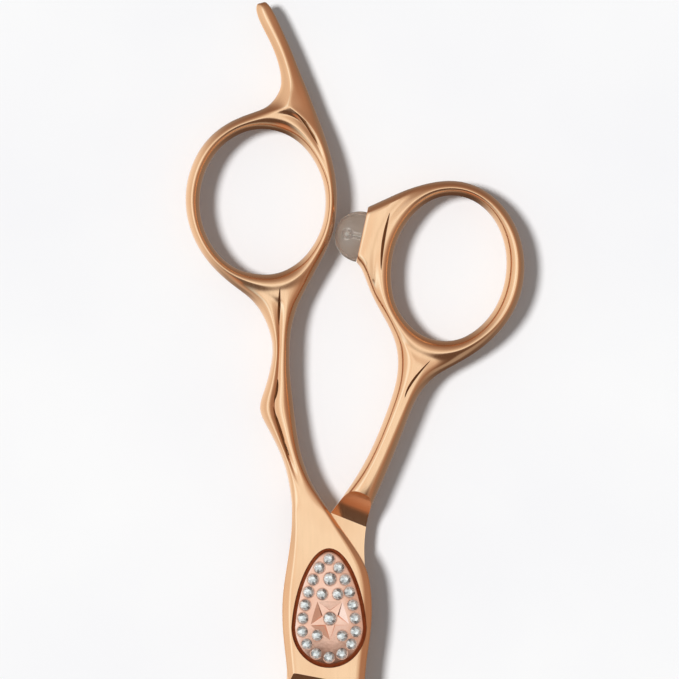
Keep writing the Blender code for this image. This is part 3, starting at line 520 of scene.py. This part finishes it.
def settled(item):
    """The mesh of an object with its modifiers applied, in the row frame. Edges are sharp where
    a cut begins, and where they turn more than SHARP_OVER, or inside a cut CUT_SHARP_OVER. The
    object and its cutters are removed."""
    bpy.context.view_layer.update()
    graph = bpy.context.evaluated_depsgraph_get()
    mesh = bpy.data.meshes.new_from_object(item.evaluated_get(graph))
    mesh.transform(item.matrix_world)
    for part in [*item.children, item]:
        bpy.data.objects.remove(part)
    mesh.shade_smooth()
    bm = bmesh.new()
    bm.from_mesh(mesh)
    for edge in bm.edges:
        kinds = {face.material_index for face in edge.link_faces}
        limit = CUT_SHARP_OVER if min(kinds) else SHARP_OVER
        turns = edge.calc_face_angle(math.pi) > limit
        edge.smooth = edge.smooth and not turns and len(kinds) == 1
    bm.to_mesh(mesh)
    bm.free()
    return mesh


def finished(mesh):
    """Turns the marks of the cuts into the piece's finish and its painted crease shade."""
    for face in mesh.polygons:
        face.material_index = 1 if face.material_index == PAINTED_SHADE_CUT else 0
    return mesh


def sweep(bm, tree, line, width, depth):
    """A tapered V-shaped prism along a line of three plan points, which follows the surface."""
    start, middle, end = (Vector(point) * MM for point in line)
    bend = middle * 2 - (start + end) / 2
    sections = []
    for k in range(CREASE_STEPS + 1):
        t = k / CREASE_STEPS
        plan = start * (1 - t) ** 2 + bend * 2 * t * (1 - t) + end * t ** 2
        ahead = (bend - start) * (1 - t) + (end - bend) * t
        side = Vector((-ahead.y, ahead.x)).normalized()
        top = tree.ray_cast(Vector((plan.x, plan.y, 1)), Vector((0, 0, -1)))[0].z
        deep = depth * (CREASE_END + (1 - CREASE_END) * math.sin(math.pi * t) ** 0.7)
        reach = side * (deep + CREASE_LIFT) * width / depth / 2
        sections.append([bm.verts.new((plan.x - reach.x, plan.y - reach.y, top + CREASE_LIFT)),
                         bm.verts.new((plan.x + reach.x, plan.y + reach.y, top + CREASE_LIFT)),
                         bm.verts.new((plan.x, plan.y, top - deep))])
    tube(bm, sections)


def creased(mesh, lines):
    """The mesh with a sharp crease cut along each line, its walls painted with shade."""
    tree = BVHTree.FromPolygons([v.co for v in mesh.vertices], [p.vertices for p in mesh.polygons])
    item = placed("blank", mesh)
    bm = bmesh.new()
    for line, width, depth in lines:
        sweep(bm, tree, line, width * MM, depth * MM)
    # the crease's walls are painted with shade
    cutter("creases", with_painted_shade(mesh_from(bm, "creases")), item)
    return settled(item)


# ---------------------------------------- the two halves

FRONT_RIDE = (17.3 * MM, (-0.25, 0.97))     # the end of the flat: how far, and which way
BACK_RIDE = (16.85 * MM, (-0.37, 0.93))
FINGER_CREASES = [              # three plan points, width and depth, in mm
    (((-6.1, 87.2), (-4.35, 85.2), (-2.1, 81.5)), 0.38, 0.22),
    (((-8.6, 57.0), (-8.75, 53.8), (-8.75, 50.4)), 0.42, 0.24),
    (((-9.0, 41.2), (-9.2, 39.2), (-9.65, 37.0)), 0.28, 0.18),
    (((-9.75, 36.4), (-8.35, 31.6), (-7.0, 27.2)), 0.36, 0.20),
]
THUMB_CREASES = [
    (((10.3, 69.8), (9.2, 65.0), (8.8, 60.0)), 0.55, 0.32),
    (((17.3, 44.4), (14.2, 40.8), (12.9, 38.0)), 0.42, 0.26),
]
BORE_R = 2.45 * MM
BUSH_R = 2.9 * MM
HEAD_R = 3.45 * MM
HEAD_SEAT = 1.05 * MM           # the screw head's seat, from the plane between the halves
NUT_POCKET_R = 4.6 * MM
NUT_POCKET = 1.6 * MM
WASHER_POCKET_R = 4.7 * MM
WASHER_POCKET = 0.25 * MM
COVER_POCKET = 1.2 * MM
POCKET_SIDES = 200
BOSS_FACE = Vector((-5.45, 65.71, 0)) * MM
BOSS_TURN = math.radians(12.6)
PIN_HOLE_R = 0.65 * MM
PIN_HOLE = 2.3 * MM             # its depth
THROUGH = 1 * MM                # how far a cutter goes past the face it starts from


def finger_half(colours):
    """The front half, with the bore, the screw head's seat and the cover's pocket."""
    half = front_half()
    half.location.z = CONTACT_Z
    above = OUTER + THROUGH
    cut_ride_face(half, *FRONT_RIDE)
    cut_bevel(half, 0)
    cutter("bore", extruded("bore", circle(BORE_R), -THROUGH, above), half)
    cutter("seat", extruded("seat", circle(HEAD_R), HEAD_SEAT, above), half)
    outline = [egg(math.tau * k / POCKET_SIDES) for k in range(POCKET_SIDES)]
    # the pocket's wall is painted with shade
    cutter("pocket", with_painted_shade(extruded("pocket", outline, OUTER - COVER_POCKET, above)), half)
    mesh = creased(settled(half), FINGER_CREASES)
    return piece("finger_half_forged", mesh, colours, "finger_body", "rose_gold_steel",
                 "finger_half")


def thumb_half(colours):
    """The back half, with the bore, the nut's and the washer's pockets and the pin's hole."""
    half = back_half()
    half.rotation_euler.y = math.pi
    half.location.z = CONTACT_Z
    above = OUTER + THROUGH
    cut_ride_face(half, *BACK_RIDE)
    cut_bevel(half, BACK_BLADE_SHIFT)
    cutter("bore", extruded("bore", circle(BUSH_R), -THROUGH, above), half)
    cutter("nut", extruded("nut", circle(NUT_POCKET_R), OUTER - NUT_POCKET, above), half)
    washer = extruded("washer", circle(WASHER_POCKET_R), -THROUGH, INNER + WASHER_POCKET)
    cutter("washer", washer, half)
    hole = extruded("pin_hole", circle(PIN_HOLE_R, 24), -PIN_HOLE, THROUGH)
    cutter("pin_hole", hole, half, BOSS_FACE, (0, math.pi / 2, BOSS_TURN))
    mesh = creased(settled(half), THUMB_CREASES)
    return piece("thumb_half_forged", mesh, colours, "thumb_body", "rose_gold_steel",
                 "thumb_half")


# ---------------------------------------- cover, star and crystals

COVER_MID = Vector((-0.16, -1.5)) * MM
COVER_HALF_WIDTH = 6.49 * MM
COVER_LONG = 13.6 * MM
COVER_SHORT = 7.0 * MM
COVER_TAPER = 0.13
COVER_GROOVE = 0.50 * MM        # the cover's face, in from the pocket's wall
COVER_SKIRT = 0.03 * MM         # the cover's foot, in from the pocket's wall
COVER_SKIRT_DROP = 0.70 * MM
COVER_BACK_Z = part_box("cover_plate")[0].z
COVER_EDGE_Z = FRONT_Z - 0.22 * MM
COVER_DOME = 0.52 * MM
COVER_SWELL = 2.4               # how full the dome is: 2 is a plain parabola
COVER_ROUNDING = 0.2 * MM
COVER_AROUND = 192
COVER_ACROSS = 60
STAR_R = 3.8 * MM
STAR_INNER = 0.382              # a regular five-pointed star's inner radius over its outer
NOTCHES = {18: 0.55, 90: 0.16, 162: 0.50, 234: 0.60, 306: 0.45}     # degrees, and depth in mm
NOTCH_REACH = STAR_R * 0.97
NOTCH_END = 0.08 * MM           # a notch's depth beside the tips of the arms
NOTCH_DRAFT = 0.22 * MM
NOTCH_LIFT = 0.2 * MM
SEAT_DEPTH = 0.45 * MM
SEAT_LIFT = 2 * MM
BEZEL_R = 0.085 * MM
BEZEL_SIDES = 10
STONE_SIDES = 40                # of a stone's seat and collar
CRYSTALS = 24
CRYSTAL_SHARE = 0.97            # a stone's radius over its CAD crystal's
CRYSTAL_TURN = 0.37             # radians from one stone to the next, so that each flashes apart


def egg(angle, inset=0.0):
    """A point of the pocket's egg outline, moved in from the wall by inset."""
    def point(t):
        reach = COVER_LONG if math.sin(t) > 0 else COVER_SHORT
        taper = 1 - COVER_TAPER * max(0.0, math.sin(t))
        return COVER_MID + Vector((COVER_HALF_WIDTH * math.cos(t) * taper, reach * math.sin(t)))

    along = point(angle + 0.01) - point(angle - 0.01)
    inward = Vector((-along.y, along.x)).normalized()
    return point(angle) + inward * inset


def smooth(value, low, high):
    """0 below low, 1 above high, and an easy curve between."""
    t = min(1.0, max(0.0, (value - low) / (high - low)))
    return t * t * (3 - 2 * t)


def dome_height(share):
    """Height of the cover's face at a share of the way out to its rim."""
    return COVER_EDGE_Z + COVER_DOME * (1 - share ** COVER_SWELL)


def cover_height(share):
    """Height of the cover's face at a share of the way out, with a rounded edge."""
    return dome_height(share) - COVER_ROUNDING * smooth(share, 0.96, 1.0) ** 2


def cover_share(plan):
    """How far out on the cover a plan point is: 0 in the middle, 1 at the rim."""
    reach = COVER_LONG if plan.y > 0 else COVER_SHORT
    return math.hypot(plan.x / COVER_HALF_WIDTH, plan.y / reach)


def bezel(bm, place, radius):
    """A fine round collar about a stone, half sunk in the cover."""
    height = dome_height(cover_share(place))
    rings = []
    for k in range(BEZEL_SIDES):
        turn = math.tau * k / BEZEL_SIDES
        collar = circle(radius + BEZEL_R * (1 + math.cos(turn)), STONE_SIDES, place)
        rings.append(loop(bm, collar, height + BEZEL_R * math.sin(turn)))
    for one, two in zip(rings, rings[1:] + rings[:1]):
        wall(bm, one, two)


def notches():
    """Wedges that sink the cover between the arms of a five-pointed star, deepest at the
    star's inner corners."""
    bm = bmesh.new()
    top = dome_height(0)
    half = math.tau / 10
    for degrees, depth in NOTCHES.items():
        middle = math.radians(degrees)
        corners = ((-half, NOTCH_REACH), (0, STAR_R * STAR_INNER), (half, NOTCH_REACH))
        plan = [Vector((math.cos(middle + turn), math.sin(middle + turn))) * reach
                for turn, reach in corners]
        heart = sum(plan, Vector((0, 0))) / 3
        heights = [top - NOTCH_END, top - depth * MM, top - NOTCH_END]
        low = [bm.verts.new((p.x, p.y, z)) for p, z in zip(plan, heights)]
        wide = [p + (p - heart).normalized() * NOTCH_DRAFT for p in plan]
        tube(bm, [low, loop(bm, wide, top + NOTCH_LIFT)])
    return mesh_from(bm, "notches")


def seats(places):
    """Round holes for the stones."""
    bm = bmesh.new()
    for place, radius in places:
        rim = circle(radius, STONE_SIDES, place)
        tube(bm, [loop(bm, rim, COVER_EDGE_Z + z) for z in (-SEAT_DEPTH, SEAT_LIFT)])
    return mesh_from(bm, "seats")


def stones():
    """Centre and girdle radius of each stone, from the CAD crystals, which have eight sides."""
    found = []
    for index in range(1, CRYSTALS + 1):
        low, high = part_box(f"crystal_{index:02d}")
        radius = (high.x - low.x) / 2 / math.cos(math.pi / 8)
        found.append(((low + high) / 2, radius))
    return found


def cover_blank():
    """The domed cover before its cuts: a fine face on a sloping skirt, closed underneath."""
    bm = bmesh.new()
    outline = [egg(math.tau * k / COVER_AROUND, COVER_GROOVE) for k in range(COVER_AROUND)]
    loops = []
    for row in range(COVER_ACROSS, 0, -1):
        share = row / COVER_ACROSS
        loops.append(loop(bm, [(x * share, y * share) for x, y in outline], cover_height(share)))
    centre = bm.verts.new((0, 0, cover_height(0)))
    skirt = [egg(math.tau * k / COVER_AROUND, COVER_SKIRT) for k in range(COVER_AROUND)]
    low = loop(bm, skirt, COVER_BACK_Z)
    foot = loop(bm, skirt, COVER_EDGE_Z - COVER_SKIRT_DROP)
    # the skirt is painted with shade, for the dark groove round the cover
    for face in wall(bm, low, foot):
        face.material_index = PAINTED_SHADE_CUT
    for one, two in zip([foot] + loops, loops):
        wall(bm, one, two)
    fan(bm, loops[-1], centre)
    bm.faces.new(low)
    return placed("cover_blank", mesh_from(bm, "cover_plate_domed"))


def cover_plate(colours):
    """The cover with its star, the stones' seats and their collars."""
    places = [(place.xy, radius) for place, radius in stones()]
    cover = cover_blank()
    cutter("notches", notches(), cover)
    cutter("seats", seats(places), cover)
    mesh = settled(cover)
    bm = bmesh.new()
    bm.from_mesh(mesh)
    for place, radius in places:
        bezel(bm, place, radius)
    bm.to_mesh(mesh)
    bm.free()
    return piece("cover_plate_domed", mesh, colours, "finger_body", "cover_rose_copper",
                 "cover_plate")


def crystal_mesh(radius, glass, foil):
    """A round cut stone: table, star facets, kites and girdle facets over a foiled back."""
    bm = bmesh.new()
    table = loop(bm, circle(radius * 0.56, 8), 0.38 * MM)
    middle = loop(bm, circle(radius * 0.82, 8, shift=0.5), 0.27 * MM)
    girdle = loop(bm, circle(radius, 16), 0.06 * MM)
    lower = loop(bm, circle(radius, 16), 0)
    culet = loop(bm, circle(radius * 0.30, 8), -0.40 * MM)
    bm.faces.new(table)
    back = [bm.faces.new(culet)]
    for k in range(8):
        after, g, h, j = (k + 1) % 8, 2 * k, (2 * k + 1) % 16, (2 * k + 2) % 16
        bm.faces.new((table[k], table[after], middle[k]))
        bm.faces.new((table[k], middle[k], girdle[g], middle[k - 1]))
        bm.faces.new((middle[k], girdle[g], girdle[h]))
        bm.faces.new((middle[k], girdle[h], girdle[j]))
        back.append(bm.faces.new((lower[g], lower[h], culet[k])))
        back.append(bm.faces.new((lower[h], lower[j], culet[after])))
        back.append(bm.faces.new((lower[h], culet[after], culet[k])))
    wall(bm, lower, girdle)
    for face in back:
        face.material_index = 1
    mesh = mesh_from(bm, "crystal_cut")
    mesh.materials.append(glass)
    mesh.materials.append(foil)
    return mesh


def crystals(glass, foil):
    """A cut stone for each CAD crystal, set at the height of the domed cover."""
    for index, (place, radius) in enumerate(stones(), 1):
        mesh = crystal_mesh(radius * CRYSTAL_SHARE, glass, foil)
        stone = placed(f"crystal_{index:02d}_cut", mesh)
        stone.location = (place.x, place.y, dome_height(cover_share(place.xy)))
        stone.rotation_euler.z = CRYSTAL_TURN * index
        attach(stone, "finger_body")
        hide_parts(f"crystal_{index:02d}")


# ---------------------------------------- bumper and pin

BUMPER_DEPTH = 4.6 * MM
BUMPER_LENGTH = 8.8 * MM
BUMPER_HEIGHT = 4.8 * MM
BUMPER_GAP = 0.04 * MM
BUMPER_FULLNESS = 0.9           # below 1 the dome's sides bulge past an ellipse
BUMPER_ROWS = 28
BUMPER_SIDES = 64
PIN_SUNK = 2.2 * MM
PIN_R = 0.6 * MM
PIN_BALL_R = 1.05 * MM
PIN_REACH = 2.3 * MM            # the ball's centre, out from the boss
PIN_STEPS = 24


def boss_frame():
    """From a bumper's own frame, with +X out of the boss, to the row frame."""
    half = Matrix.Translation((0, 0, CONTACT_Z)) @ Matrix.Rotation(math.pi, 4, "Y")
    return half @ Matrix.Translation(BOSS_FACE) @ Matrix.Rotation(BOSS_TURN, 4, "Z")


def bumper(colour):
    """A soft domed stop over the pin's ball."""
    bm = bmesh.new()
    rings = []
    for k in range(BUMPER_ROWS):
        slope = math.pi / 2 * k / BUMPER_ROWS
        share = math.cos(slope) ** BUMPER_FULLNESS
        out = BUMPER_GAP + (BUMPER_DEPTH - BUMPER_GAP) * math.sin(slope)
        rings.append([bm.verts.new((out, BUMPER_LENGTH / 2 * share * math.cos(a),
                                    BUMPER_HEIGHT / 2 * share * math.sin(a)))
                      for a in (math.tau * i / BUMPER_SIDES for i in range(BUMPER_SIDES))])
    for low, high in zip(rings, rings[1:]):
        wall(bm, low, high)
    fan(bm, rings[-1], bm.verts.new((BUMPER_DEPTH, 0, 0)))
    bm.faces.new(rings[0])
    mesh = mesh_from(bm, "bumper_soft")
    mesh.transform(boss_frame())
    mesh.shade_smooth()
    mesh.set_sharp_from_angle(angle=math.radians(50))
    return piece("bumper_soft", mesh, [colour], "thumb_body", "clear_silicone", "bumper")


def turned_mesh(name, profile, sides=64):
    """A solid of revolution about Z from (radius, height) points that start and end on it."""
    bm = bmesh.new()
    rings = []
    for radius, height in profile:
        if radius == 0:
            rings.append([bm.verts.new((0, 0, height))])
        else:
            rings.append(loop(bm, circle(radius, sides), height))
    for low, high in zip(rings, rings[1:]):
        for k in range(sides):
            other = (k + 1) % sides
            corners = [low[k % len(low)], low[other % len(low)],
                       high[other % len(high)], high[k % len(high)]]
            bm.faces.new(list(dict.fromkeys(corners)))
    mesh = mesh_from(bm, name)
    mesh.shade_smooth()
    mesh.set_sharp_from_angle(angle=math.radians(40))
    return mesh


def bumper_pin(colour):
    """The ball-headed pin seen through the bumper."""
    neck = math.asin(PIN_R / PIN_BALL_R)
    profile = [(0, -PIN_SUNK), (PIN_R, -PIN_SUNK)]
    for k in range(PIN_STEPS):
        t = neck + (math.pi - neck) * k / PIN_STEPS
        profile.append((PIN_BALL_R * math.sin(t), PIN_REACH - PIN_BALL_R * math.cos(t)))
    profile.append((0, PIN_REACH + PIN_BALL_R))
    mesh = turned_mesh("bumper_pin_ball", profile)
    mesh.transform(boss_frame() @ Matrix.Rotation(math.pi / 2, 4, "Y"))
    return piece("bumper_pin_ball", mesh, [colour], "thumb_body", "pivot_steel", "bumper_pin")


# ---------------------------------------- finishes

NOISE_RANGE = (0.3, 0.7)        # a noise seldom leaves these values


def fill_ramp(node, stops):
    """Puts (position, colour) stops on a new colour ramp, which has two to begin with."""
    elements = node.color_ramp.elements
    for index, (position, colour) in enumerate(stops):
        element = elements[index] if index < 2 else elements.new(position)
        element.position = position
        element.color = (*colour, 1)


class Finish:
    """A Principled material, built up node by node. Places are in millimetres."""

    def __init__(self, name, **constants):
        self.material = bpy.data.materials.new(name)
        self.material.use_nodes = True
        self.nodes = self.material.node_tree.nodes
        self.links = self.material.node_tree.links
        self.surface = self.nodes["Principled BSDF"]
        for socket, value in constants.items():
            self.surface.inputs[socket.replace("_", " ")].default_value = value
        self.place = self.nodes.new("ShaderNodeTexCoord").outputs["Object"]

    def texture(self, kind, scale, stretch):
        """A texture node of that scale to the millimetre, drawn out by stretch."""
        mapping = self.nodes.new("ShaderNodeMapping")
        mapping.inputs["Scale"].default_value = [1 / MM / s for s in stretch]
        made = self.nodes.new(kind)
        made.inputs["Scale"].default_value = scale
        self.links.new(self.place, mapping.inputs["Vector"])
        self.links.new(mapping.outputs["Vector"], made.inputs["Vector"])
        return made

    def noise(self, scale, detail=3.0, stretch=(1, 1, 1)):
        made = self.texture("ShaderNodeTexNoise", scale, stretch)
        made.inputs["Detail"].default_value = detail
        return made.outputs["Fac"]

    def cells(self, scale):
        """Flat cells of random value."""
        made = self.texture("ShaderNodeTexVoronoi", scale, (1, 1, 1))
        parts = self.nodes.new("ShaderNodeSeparateColor")
        self.links.new(made.outputs["Color"], parts.inputs["Color"])
        return parts.outputs["Red"]

    def tint(self, source, *stops):
        """Base colour by (value, colour) stops."""
        node = self.nodes.new("ShaderNodeValToRGB")
        fill_ramp(node, stops)
        self.links.new(source, node.inputs["Fac"])
        self.set("Base Color", node.outputs["Color"])

    def drift(self, source, *colours):
        """Base colour that drifts between two colours."""
        self.tint(source, *zip(NOISE_RANGE, colours))

    def roughness(self, source, low, high):
        node = self.nodes.new("ShaderNodeMapRange")
        for socket, value in zip(("From Min", "From Max", "To Min", "To Max"),
                                 (*NOISE_RANGE, low, high)):
            node.inputs[socket].default_value = value
        self.links.new(source, node.inputs["Value"])
        self.set("Roughness", node.outputs["Result"])

    def set(self, socket, source):
        self.links.new(source, self.surface.inputs[socket])

    def bump(self, *layers):
        """Bump layers, each (height, strength, depth in mm), one over the other."""
        normal = None
        for height, strength, depth in layers:
            node = self.nodes.new("ShaderNodeBump")
            node.inputs["Strength"].default_value = strength
            node.inputs["Distance"].default_value = depth * MM
            self.links.new(height, node.inputs["Height"])
            if normal is not None:
                self.links.new(normal, node.inputs["Normal"])
            normal = node.outputs["Normal"]
        self.links.new(normal, self.surface.inputs["Normal"])


def rose_gold():
    """Polished steel with a rose gold coating: soft colour drift, hairline polishing marks."""
    finish = Finish("rose_gold_steel", Metallic=1.0)
    drift = finish.noise(0.12, 2.0)
    finish.tint(drift, (0.35, (0.88, 0.52, 0.305)), (0.65, (0.92, 0.57, 0.345)))
    hairlines = finish.noise(3.0, 4.0, (1, 14, 1))
    finish.roughness(hairlines, 0.13, 0.19)
    finish.bump((hairlines, 0.05, 0.01), (drift, 0.1, 0.05))
    return finish.material


def painted_crease_shade():
    """Painted shade in creases, grooves and corners: a darker colour for the shade, duller too."""
    finish = Finish("rose_gold_crease", Metallic=1.0)
    drift = finish.noise(0.8, 3.0)
    finish.drift(drift, (0.38, 0.215, 0.12), (0.45, 0.26, 0.15))
    grain = finish.noise(6.0, 3.0)
    finish.roughness(grain, 0.28, 0.4)
    finish.bump((grain, 0.1, 0.01))
    return finish.material


def rose_copper():
    """The cover's warmer, pinker plating, a little uneven from casting and hand polishing."""
    finish = Finish("cover_rose_copper", Metallic=1.0)
    drift = finish.noise(0.35, 3.0)
    finish.drift(drift, (0.86, 0.49, 0.36), (0.92, 0.57, 0.44))
    grain = finish.noise(5.0, 4.0)
    finish.roughness(grain, 0.12, 0.2)
    finish.bump((drift, 0.35, 0.12), (grain, 0.08, 0.01))
    return finish.material


def cut_glass():
    """Clear cut glass over foil. Light and dark cells paint the reflections of the back facets."""
    finish = Finish("clear_crystal", Transmission_Weight=0.3, Metallic=0.55, IOR=1.9)
    # painted reflections: cells of light and dark base colour stand in for the facets' flashes
    painted_flashes = finish.cells(1.9)
    finish.tint(painted_flashes, (0.16, (0.36, 0.35, 0.34)), (0.38, (0.82, 0.80, 0.77)),
                (0.8, (1.0, 0.98, 0.95)))
    haze = finish.noise(1.5, 2.0)
    finish.roughness(haze, 0.01, 0.04)
    finish.bump((painted_flashes, 0.25, 0.05), (haze, 0.03, 0.005))
    return finish.material


def silver_foil():
    """The mirror backing of the stones."""
    finish = Finish("crystal_foil", Metallic=1.0)
    haze = finish.noise(4.0, 2.0)
    finish.drift(haze, (0.82, 0.82, 0.80), (0.92, 0.92, 0.90))
    finish.roughness(haze, 0.08, 0.16)
    finish.bump((haze, 0.05, 0.01))
    return finish.material


def steel():
    """Plain turned steel with fine rings of tool marks."""
    finish = Finish("pivot_steel", Metallic=1.0)
    drift = finish.noise(0.5, 2.0)
    finish.drift(drift, (0.55, 0.54, 0.52), (0.66, 0.65, 0.63))
    marks = finish.noise(6.0, 4.0, (8, 1, 1))
    finish.roughness(marks, 0.2, 0.34)
    finish.bump((marks, 0.15, 0.01))
    return finish.material


def polymer():
    """Natural low-friction plastic."""
    finish = Finish("washer_polymer")
    drift = finish.noise(0.6, 3.0)
    finish.drift(drift, (0.80, 0.79, 0.74), (0.88, 0.87, 0.83))
    finish.roughness(drift, 0.45, 0.6)
    finish.bump((finish.noise(12.0, 2.0), 0.1, 0.01))
    return finish.material


def silicone():
    """Smoky clear silicone."""
    finish = Finish("clear_silicone", IOR=1.42, Transmission_Weight=0.8)
    cloud = finish.noise(0.5, 3.0)
    finish.drift(cloud, (0.76, 0.65, 0.56), (0.85, 0.75, 0.66))
    finish.roughness(cloud, 0.16, 0.26)
    finish.bump((finish.noise(2.0, 3.0), 0.15, 0.04))
    return finish.material


def carried_over(finishes):
    """Gives every CAD node that still shows the finish of its slot."""
    slots = {"pivot_screw": "pivot_steel", "click_plate": "pivot_steel",
             "spring_washer": "pivot_steel", "tension_nut": "rose_gold_steel",
             "pivot_bush": "washer_polymer", "ride_washer": "washer_polymer"}
    for node, slot in slots.items():
        item = frame["nodes"][node]
        if not item.material_slots:
            item.data.materials.append(None)
        for holder in item.material_slots:
            holder.material = finishes[slot]


# ---------------------------------------- floor, light and camera

FLOOR_REACH = 4.0
FLOOR_Z = -0.02 * MM            # just below the nut, so that the two do not flicker


def floor():
    bm = bmesh.new()
    corners = [(-1, -1), (1, -1), (1, 1), (-1, 1)]
    bm.faces.new(loop(bm, [(x * FLOOR_REACH, y * FLOOR_REACH) for x, y in corners], FLOOR_Z))
    item = placed("floor", mesh_from(bm, "floor"))
    finish = Finish("pale_floor", Specular_IOR_Level=0.1)
    cloud = finish.noise(0.02, 3.0)
    finish.drift(cloud, (0.86, 0.86, 0.875), (0.90, 0.90, 0.90))
    finish.roughness(cloud, 0.55, 0.65)
    item.data.materials.append(finish.material)
    item.visible_glossy = False


VIEW_CENTRE = Vector((1.64, 48.02)) * MM
VIEW_WIDTH = 117.07 * MM        # what the view takes in, at SUBJECT_Z
SUBJECT_Z = 5.5 * MM
SENSOR = 36
LENS = 300


def camera():
    """A long lens straight above the handles."""
    data = bpy.data.cameras.new("camera")
    data.sensor_width = SENSOR
    data.lens = LENS
    item = placed("camera", data)
    away = VIEW_WIDTH * LENS / SENSOR
    item.location = (VIEW_CENTRE.x, VIEW_CENTRE.y, SUBJECT_Z + away)
    bpy.context.scene.camera = item


KEY_ENERGY = 2.95
KEY_SIZE = math.radians(13)
KEY_TOWARDS = Vector((0.55, -0.08, -1))


def key_light():
    """A soft light from the left, high up, which draws the shadow to the right."""
    data = bpy.data.lights.new("key", "SUN")
    data.energy = KEY_ENERGY
    data.angle = KEY_SIZE
    item = placed("key", data)
    item.rotation_euler = KEY_TOWARDS.to_track_quat("-Z", "Y").to_euler()
    item.visible_glossy = False
    item.visible_transmission = False


# The light tent. Each wall has the direction it stands in and how sharply it gives way to the
# next, then its brightness and tint by elevation in degrees. The last is a narrow amber card.
OVERHEAD = (1.06, 1.18, 1.22)
PLAIN = (1.0, 0.98, 0.93)
WARM = (1.0, 0.86, 0.76)
ROSE = (1.0, 0.68, 0.52)
AMBER = (1.0, 0.46, 0.25)
SKY = (0.66, 0.86, 1.0)
TENT = {
    (-1, 0, 4): [(-60, 1.00, PLAIN), (-20, 0.92, PLAIN), (5, 0.82, PLAIN), (35, 0.95, PLAIN),
                 (60, 1.80, SKY), (78, 1.00, PLAIN)],
    (1, 0, 4): [(-60, 0.30, WARM), (-25, 0.28, WARM), (5, 0.36, ROSE), (35, 0.46, ROSE),
                (60, 0.64, WARM), (78, 0.85, PLAIN)],
    (0, 1, 4): [(-60, 0.30, WARM), (-20, 0.26, ROSE), (10, 0.32, ROSE), (45, 0.50, WARM),
                (78, 0.85, PLAIN)],
    (0, -1, 4): [(-60, 0.12, ROSE), (-30, 0.14, ROSE), (-12, 0.42, PLAIN), (12, 0.42, PLAIN),
                 (26, 0.13, ROSE), (70, 0.14, ROSE), (80, 0.50, PLAIN)],
    (-0.37, -0.93, 60): [(-20, 0.10, ROSE), (6, 0.75, AMBER), (30, 0.75, AMBER),
                         (38, 0.10, ROSE)],
}
TENT_SCALE = 2.0                # a colour ramp's stops go up to 1
OVERHEAD_FROM = 0.970           # heights of a unit direction, where the overhead light
OVERHEAD_FULL = 0.992           # begins and is whole
AMBIENT = 0.26


def studio():
    """A light tent seen in reflections, brightest overhead and at the sides, over plain light."""
    world = bpy.data.worlds.new("studio")
    bpy.context.scene.world = world
    world.use_nodes = True
    nodes, links = world.node_tree.nodes, world.node_tree.links
    nodes.clear()

    def node(kind, *sources, **settings):
        made = nodes.new(kind)
        for name, value in settings.items():
            setattr(made, name, value)
        for socket, source in zip(made.inputs, sources):
            if isinstance(source, bpy.types.NodeSocket):
                links.new(source, socket)
            else:
                socket.default_value = source
        return made

    direction = node("ShaderNodeTexCoord").outputs["Generated"]
    height = node("ShaderNodeSeparateXYZ", direction).outputs["Z"]
    level = node("ShaderNodeVectorMath", direction, (1, 1, 0), operation="MULTIPLY").outputs[0]
    level = node("ShaderNodeVectorMath", level, operation="NORMALIZE").outputs[0]
    share = node("ShaderNodeMapRange", height, -1.0, 1.0, 0.0, 1.0).outputs[0]
    walls = weights = None
    for (x, y, sharpness), stops in TENT.items():
        facing = node("ShaderNodeVectorMath", level, (x, y, 0), operation="DOT_PRODUCT")
        facing = node("ShaderNodeMath", facing.outputs["Value"], 0.0, operation="MAXIMUM").outputs[0]
        facing = node("ShaderNodeMath", facing, float(sharpness), operation="POWER").outputs[0]
        ramp = node("ShaderNodeValToRGB", share)
        fill_ramp(ramp, [((math.sin(math.radians(elevation)) + 1) / 2,
                          [value * part / TENT_SCALE for part in tint])
                         for elevation, value, tint in stops])
        lit = node("ShaderNodeVectorMath", ramp.outputs[0], operation="SCALE")
        links.new(facing, lit.inputs["Scale"])
        if walls is None:
            walls, weights = lit.outputs[0], facing
        else:
            walls = node("ShaderNodeVectorMath", walls, lit.outputs[0], operation="ADD").outputs[0]
            weights = node("ShaderNodeMath", weights, facing, operation="ADD").outputs[0]
    weighed = node("ShaderNodeVectorMath", walls, operation="SCALE")
    links.new(node("ShaderNodeMath", 1.0, weights, operation="DIVIDE").outputs[0],
              weighed.inputs["Scale"])
    near_top = node("ShaderNodeMapRange", height, OVERHEAD_FROM, OVERHEAD_FULL, 0.0, 1.0).outputs[0]
    top = [part / TENT_SCALE for part in OVERHEAD]
    inside = node("ShaderNodeMix", near_top, data_type="RGBA")
    walls_in, overhead_in = inside.inputs[6:8]      # a mix's two colours
    links.new(weighed.outputs[0], walls_in)
    overhead_in.default_value = (*top, 1)
    tent = node("ShaderNodeBackground", inside.outputs[2], TENT_SCALE)
    plain = node("ShaderNodeBackground", (1, 1, 1, 1), AMBIENT)
    path = node("ShaderNodeLightPath").outputs
    shown = node("ShaderNodeMath", path["Is Glossy Ray"], path["Is Transmission Ray"],
                 operation="MAXIMUM").outputs[0]
    chosen = node("ShaderNodeMixShader", shown, plain.outputs[0], tent.outputs[0])
    node("ShaderNodeOutputWorld", chosen.outputs[0])


def build():
    finishes = {"rose_gold_steel": rose_gold(), "pivot_steel": steel(),
                "washer_polymer": polymer()}
    # painted shade for creases, grooves and corners
    crease = painted_crease_shade()
    finger_half([finishes["rose_gold_steel"], crease])
    thumb_half([finishes["rose_gold_steel"], crease])
    cover_plate([rose_copper(), crease])
    crystals(cut_glass(), silver_foil())
    bumper(silicone())
    bumper_pin(finishes["pivot_steel"])
    carried_over(finishes)
    floor()
    key_light()
    studio()
    camera()
    bpy.context.scene.view_settings.view_transform = "Standard"


def corners(box):
    return [list(corner) for corner in box]


build()
